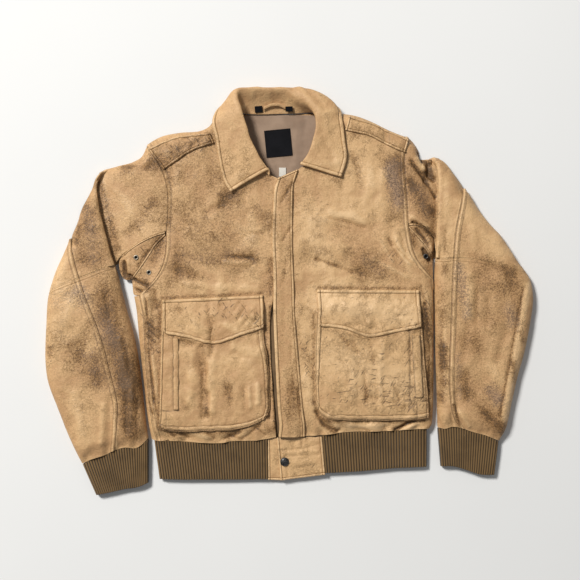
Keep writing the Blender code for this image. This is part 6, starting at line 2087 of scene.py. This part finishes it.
def repeated(name, lines, finish_name, pitch, size):
    """Small rounded pieces set end to end along lines of places and the directions square to them."""
    seed = bmesh.new()
    bmesh.ops.create_icosphere(seed, subdivisions=1, radius=0.5)
    bead = mesh_of(seed, "bead")
    shape = np.empty(len(bead.vertices) * 3)
    bead.vertices.foreach_get("co", shape)
    shape = shape.reshape(-1, 3)
    bm = bmesh.new()
    placed_all = []
    for line in lines:
        places, square = line[:, :3], line[:, 3:6]
        along = lengths_along(places)
        if along[-1] < 4 * pitch:
            continue
        at = np.arange(pitch, along[-1] - pitch, pitch)
        for centre_at in at:
            centre = np.array([np.interp(centre_at, along, places[:, k]) for k in range(3)])
            ahead = np.array([np.interp(centre_at + 0.5, along, places[:, k]) for k in range(3)]) - centre
            ahead /= max(norm(ahead), 1e-9)
            up = np.array([np.interp(centre_at, along, square[:, k]) for k in range(3)])
            side = np.cross(up, ahead)
            side /= max(norm(side), 1e-9)
            up = np.cross(ahead, side)
            bm.from_mesh(bead)
            parts = (shape[:, k : k + 1] * way * size[k] for k, way in enumerate((ahead, side, up)))
            placed_all.append(sum(parts, centre))
    mesh = mesh_of(bm, name)
    bpy.data.meshes.remove(bead)
    mesh.vertices.foreach_set("co", (np.vstack(placed_all) * MM).ravel())
    mesh.update()
    set_down(name, mesh, finish_name, ())


def build_stitches(thread):
    for group, lines in SEWN.items():
        size = (thread.length / MM, thread.width / MM, thread.width / MM * 0.7)
        repeated("stitches_" + group, lines, "waxed_thread", thread.pitch / MM, size)


# ---- the stage ----


FLOOR_DROP = 0.0004
KEY_PLACE, KEY_TINT = (-3.5, 3.4, 5.0), (1.0, 0.985, 0.96)
SKY_TINT, SEEN_TINT = (0.97, 0.985, 1.0, 1), (0.9, 0.9, 0.9, 1)
VIEW_CENTRE, CLOTH_HEIGHT, SENSOR = (0.002, 0.004), 0.018, 36


def build_stage(stage):
    """A pale floor, a soft key light from the upper left, an even surround and the camera above."""
    bm = bmesh.new()
    bmesh.ops.create_grid(bm, x_segments=2, y_segments=2, size=stage.floor_size / 2)
    bmesh.ops.translate(bm, verts=bm.verts, vec=(0, 0, -FLOOR_DROP))
    mesh = mesh_of(bm, "floor")
    floor = placed_object("floor", mesh)
    f = Finish("floor_paint")
    pale = stage.floor_colour
    dim = tuple(value * 0.96 for value in pale)
    f.shade(Base_Color=f.mix(f.noise(3.0, 2.0), pale, dim), Roughness=0.9, Specular_IOR_Level=0.1)
    mesh.materials.append(f.material)
    lamp = bpy.data.lights.new("key", "AREA")
    lamp.shape = "DISK"
    lamp.size = stage.key_size
    lamp.energy = stage.key_power
    lamp.color = KEY_TINT
    key = placed_object("key", lamp)
    key.location = KEY_PLACE
    key.rotation_euler = Vector(KEY_PLACE).to_track_quat("Z", "Y").to_euler()
    world = bpy.data.worlds.new("surround")
    bpy.context.scene.world = world
    world.use_nodes = True
    tree = world.node_tree
    sky = tree.nodes["Background"]
    sky.inputs["Color"].default_value = SKY_TINT
    sky.inputs["Strength"].default_value = stage.surround
    seen = tree.nodes.new("ShaderNodeBackground")
    seen.inputs["Color"].default_value = SEEN_TINT
    path = tree.nodes.new("ShaderNodeLightPath")
    mixed = tree.nodes.new("ShaderNodeMixShader")
    tree.links.new(path.outputs["Is Camera Ray"], mixed.inputs[0])
    tree.links.new(sky.outputs[0], mixed.inputs[1])
    tree.links.new(seen.outputs[0], mixed.inputs[2])
    tree.links.new(mixed.outputs[0], tree.nodes["World Output"].inputs["Surface"])
    view = bpy.data.cameras.new("camera")
    view.sensor_width = SENSOR
    view.lens = SENSOR * stage.camera_height / stage.view_width
    camera = placed_object("camera", view)
    camera.location = (*VIEW_CENTRE, stage.camera_height + CLOTH_HEIGHT)
    bpy.context.scene.camera = camera
    bpy.context.scene.view_settings.view_transform = "Standard"


# ---- settings, operators and panel ----


def tint(name, description, default):
    return bpy.props.FloatVectorProperty(
        name=name, description=description, subtype="COLOR", size=3, min=0, max=1, default=default
    )


def size(name, description, default):
    return bpy.props.FloatProperty(
        name=name, description=description, unit="LENGTH", default=default, precision=4
    )


class JacketLeatherSettings(bpy.types.PropertyGroup):
    light: tint("Light", "The hide where it is clean", (0.64, 0.405, 0.195))
    mid: tint("Middle", "The hide's darker clouds", (0.48, 0.278, 0.128))
    # the Rubbed colour also paints light on the right side, where the key light falls off
    pale: tint("Rubbed", "Edges and bellies rubbed pale", (0.76, 0.52, 0.285))
    # the Handled and Worn colours also paint shade in hollows, gaps and under flaps and collar points
    brown: tint("Handled", "Leather browned by handling", (0.262, 0.136, 0.048))
    dark: tint("Worn", "Leather darkened by wear", (0.075, 0.038, 0.014))
    grey: tint("Greyed", "Leather gone dry and grey", (0.235, 0.155, 0.105))
    # the Line colour also paints the shadow beside each raised band
    line: tint("Line", "Dirt in cracks and stitch grooves", (0.075, 0.042, 0.022))
    thread: tint("Thread", "The sewing thread", (0.52, 0.33, 0.15))
    pitch: size("Stitch pitch", "From one stitch to the next", 0.0034)
    length: size("Stitch length", "Length of one stitch", 0.0025)
    width: size("Stitch width", "Width of one stitch", 0.0008)


class JacketKnitSettings(bpy.types.PropertyGroup):
    rib: tint("Rib", "The crest of each rib", (0.185, 0.112, 0.046))
    # the Furrow colour paints the shade between the ribs
    furrow: tint("Furrow", "Between the ribs", (0.007, 0.004, 0.002))
    nap: tint("Nap", "Fine loops that catch the light", (0.23, 0.14, 0.062))
    pitch: size("Rib pitch", "From one rib to the next", 0.0050)
    depth: size("Rib depth", "Height of a rib over its furrow", 0.0030)


class JacketStageSettings(bpy.types.PropertyGroup):
    floor_colour: tint("Floor", "Colour of the floor", (0.80, 0.80, 0.79))
    floor_size: size("Floor size", "Side of the floor", 9.0)
    key_size: size("Key size", "Width of the key light", 1.7)
    key_power: bpy.props.FloatProperty(
        name="Key power", description="Power of the key light", unit="POWER", default=585.0
    )
    surround: bpy.props.FloatProperty(name="Surround", description="Strength of the even light", default=0.24)
    camera_height: size("Camera height", "From the cloth to the camera", 1.8)
    view_width: size("View width", "Width of the view at the cloth", 1.085)


class JACKET_OT_stage(bpy.types.Operator):
    """Makes the floor, the lights and the camera"""

    bl_idname = "jacket.stage"
    bl_label = "Stage"

    def execute(self, context):
        build_stage(context.scene.jacket_stage)
        return {"FINISHED"}


class JACKET_OT_body(bpy.types.Operator):
    """Makes the back, with its rolled sides, and the two fronts"""

    bl_idname = "jacket.body"
    bl_label = "Body"

    def execute(self, context):
        build_back()
        for side in SIDES:
            build_front(side)
        return {"FINISHED"}


class JACKET_OT_sleeves(bpy.types.Operator):
    """Makes the sleeves: cap and pleat, panels above and below the elbow, and the under sleeves"""

    bl_idname = "jacket.sleeves"
    bl_label = "Sleeves"

    def execute(self, context):
        for side in SIDES:
            build_upper_inner(side)
            build_upper_outer(side)
            build_lower_inner(side)
            build_lower_outer(side)
            build_under_sleeve(side)
        return {"FINISHED"}


class JACKET_OT_gussets(bpy.types.Operator):
    """Makes the underarm gussets"""

    bl_idname = "jacket.gussets"
    bl_label = "Gussets"

    def execute(self, context):
        for side in SIDES:
            build_gussets(side)
        return {"FINISHED"}


class JACKET_OT_knit(bpy.types.Operator):
    """Makes the ribbed cuffs and waistband"""

    bl_idname = "jacket.knit"
    bl_label = "Ribbed knit"

    def execute(self, context):
        knit = context.scene.jacket_knit
        build_band_back(knit)
        for side in SIDES:
            build_cuff(side, knit)
            build_band(side, knit)
        return {"FINISHED"}


class JACKET_OT_closure(bpy.types.Operator):
    """Makes the zip, the storm flap, the tabs, the snap and the eyelets"""

    bl_idname = "jacket.closure"
    bl_label = "Closure"

    def execute(self, context):
        build_zip()
        build_storm_flap()
        build_tabs()
        build_metal()
        return {"FINISHED"}


class JACKET_OT_pockets(bpy.types.Operator):
    """Makes the pockets, their flaps and welts"""

    bl_idname = "jacket.pockets"
    bl_label = "Pockets"

    def execute(self, context):
        for side in SIDES:
            build_pocket(side)
        return {"FINISHED"}


class JACKET_OT_shoulders(bpy.types.Operator):
    """Makes the epaulets and the collar"""

    bl_idname = "jacket.shoulders"
    bl_label = "Epaulets and collar"

    def execute(self, context):
        for side in SIDES:
            build_epaulet(side)
        build_collar()
        return {"FINISHED"}


class JACKET_OT_neck(bpy.types.Operator):
    """Makes the lining in the neck, the bare label, the size tag and the hanger"""

    bl_idname = "jacket.neck"
    bl_label = "Neck"

    def execute(self, context):
        build_lining(build_neck_pieces())
        return {"FINISHED"}


class JACKET_OT_sewing(bpy.types.Operator):
    """Sews the rows of stitches that the other pieces noted"""

    bl_idname = "jacket.sewing"
    bl_label = "Sewing"

    def execute(self, context):
        if not SEWN:
            raise RuntimeError("make the leather pieces before their stitches")
        build_stitches(context.scene.jacket_leather)
        return {"FINISHED"}


OPERATORS = (
    JACKET_OT_stage,
    JACKET_OT_body,
    JACKET_OT_sleeves,
    JACKET_OT_gussets,
    JACKET_OT_knit,
    JACKET_OT_closure,
    JACKET_OT_pockets,
    JACKET_OT_shoulders,
    JACKET_OT_neck,
    JACKET_OT_sewing,
)


class JACKET_PT_panel(bpy.types.Panel):
    """Lists the jacket's settings and its pieces"""

    bl_label = "Worn flight jacket"
    bl_idname = "JACKET_PT_panel"
    bl_space_type = "VIEW_3D"
    bl_region_type = "UI"
    bl_category = "Jacket"

    def draw(self, context):
        for settings in (context.scene.jacket_leather, context.scene.jacket_knit, context.scene.jacket_stage):
            column = self.layout.column(align=True)
            for name in settings.__annotations__:
                column.prop(settings, name)
        for operator in OPERATORS:
            self.layout.operator(operator.bl_idname)


SETTINGS = {
    "jacket_leather": JacketLeatherSettings,
    "jacket_knit": JacketKnitSettings,
    "jacket_stage": JacketStageSettings,
}


def register():
    for kind in (*SETTINGS.values(), *OPERATORS, JACKET_PT_panel):
        bpy.utils.register_class(kind)
    for name, kind in SETTINGS.items():
        setattr(bpy.types.Scene, name, bpy.props.PointerProperty(type=kind))


def unregister():
    for name in SETTINGS:
        delattr(bpy.types.Scene, name)
    for kind in reversed((*SETTINGS.values(), *OPERATORS, JACKET_PT_panel)):
        bpy.utils.unregister_class(kind)


def main():
    register()
    SEWN.clear()
    for operator in OPERATORS:
        group, name = operator.bl_idname.split(".")
        getattr(getattr(bpy.ops, group), name)()


if __name__ == "__main__":
    main()
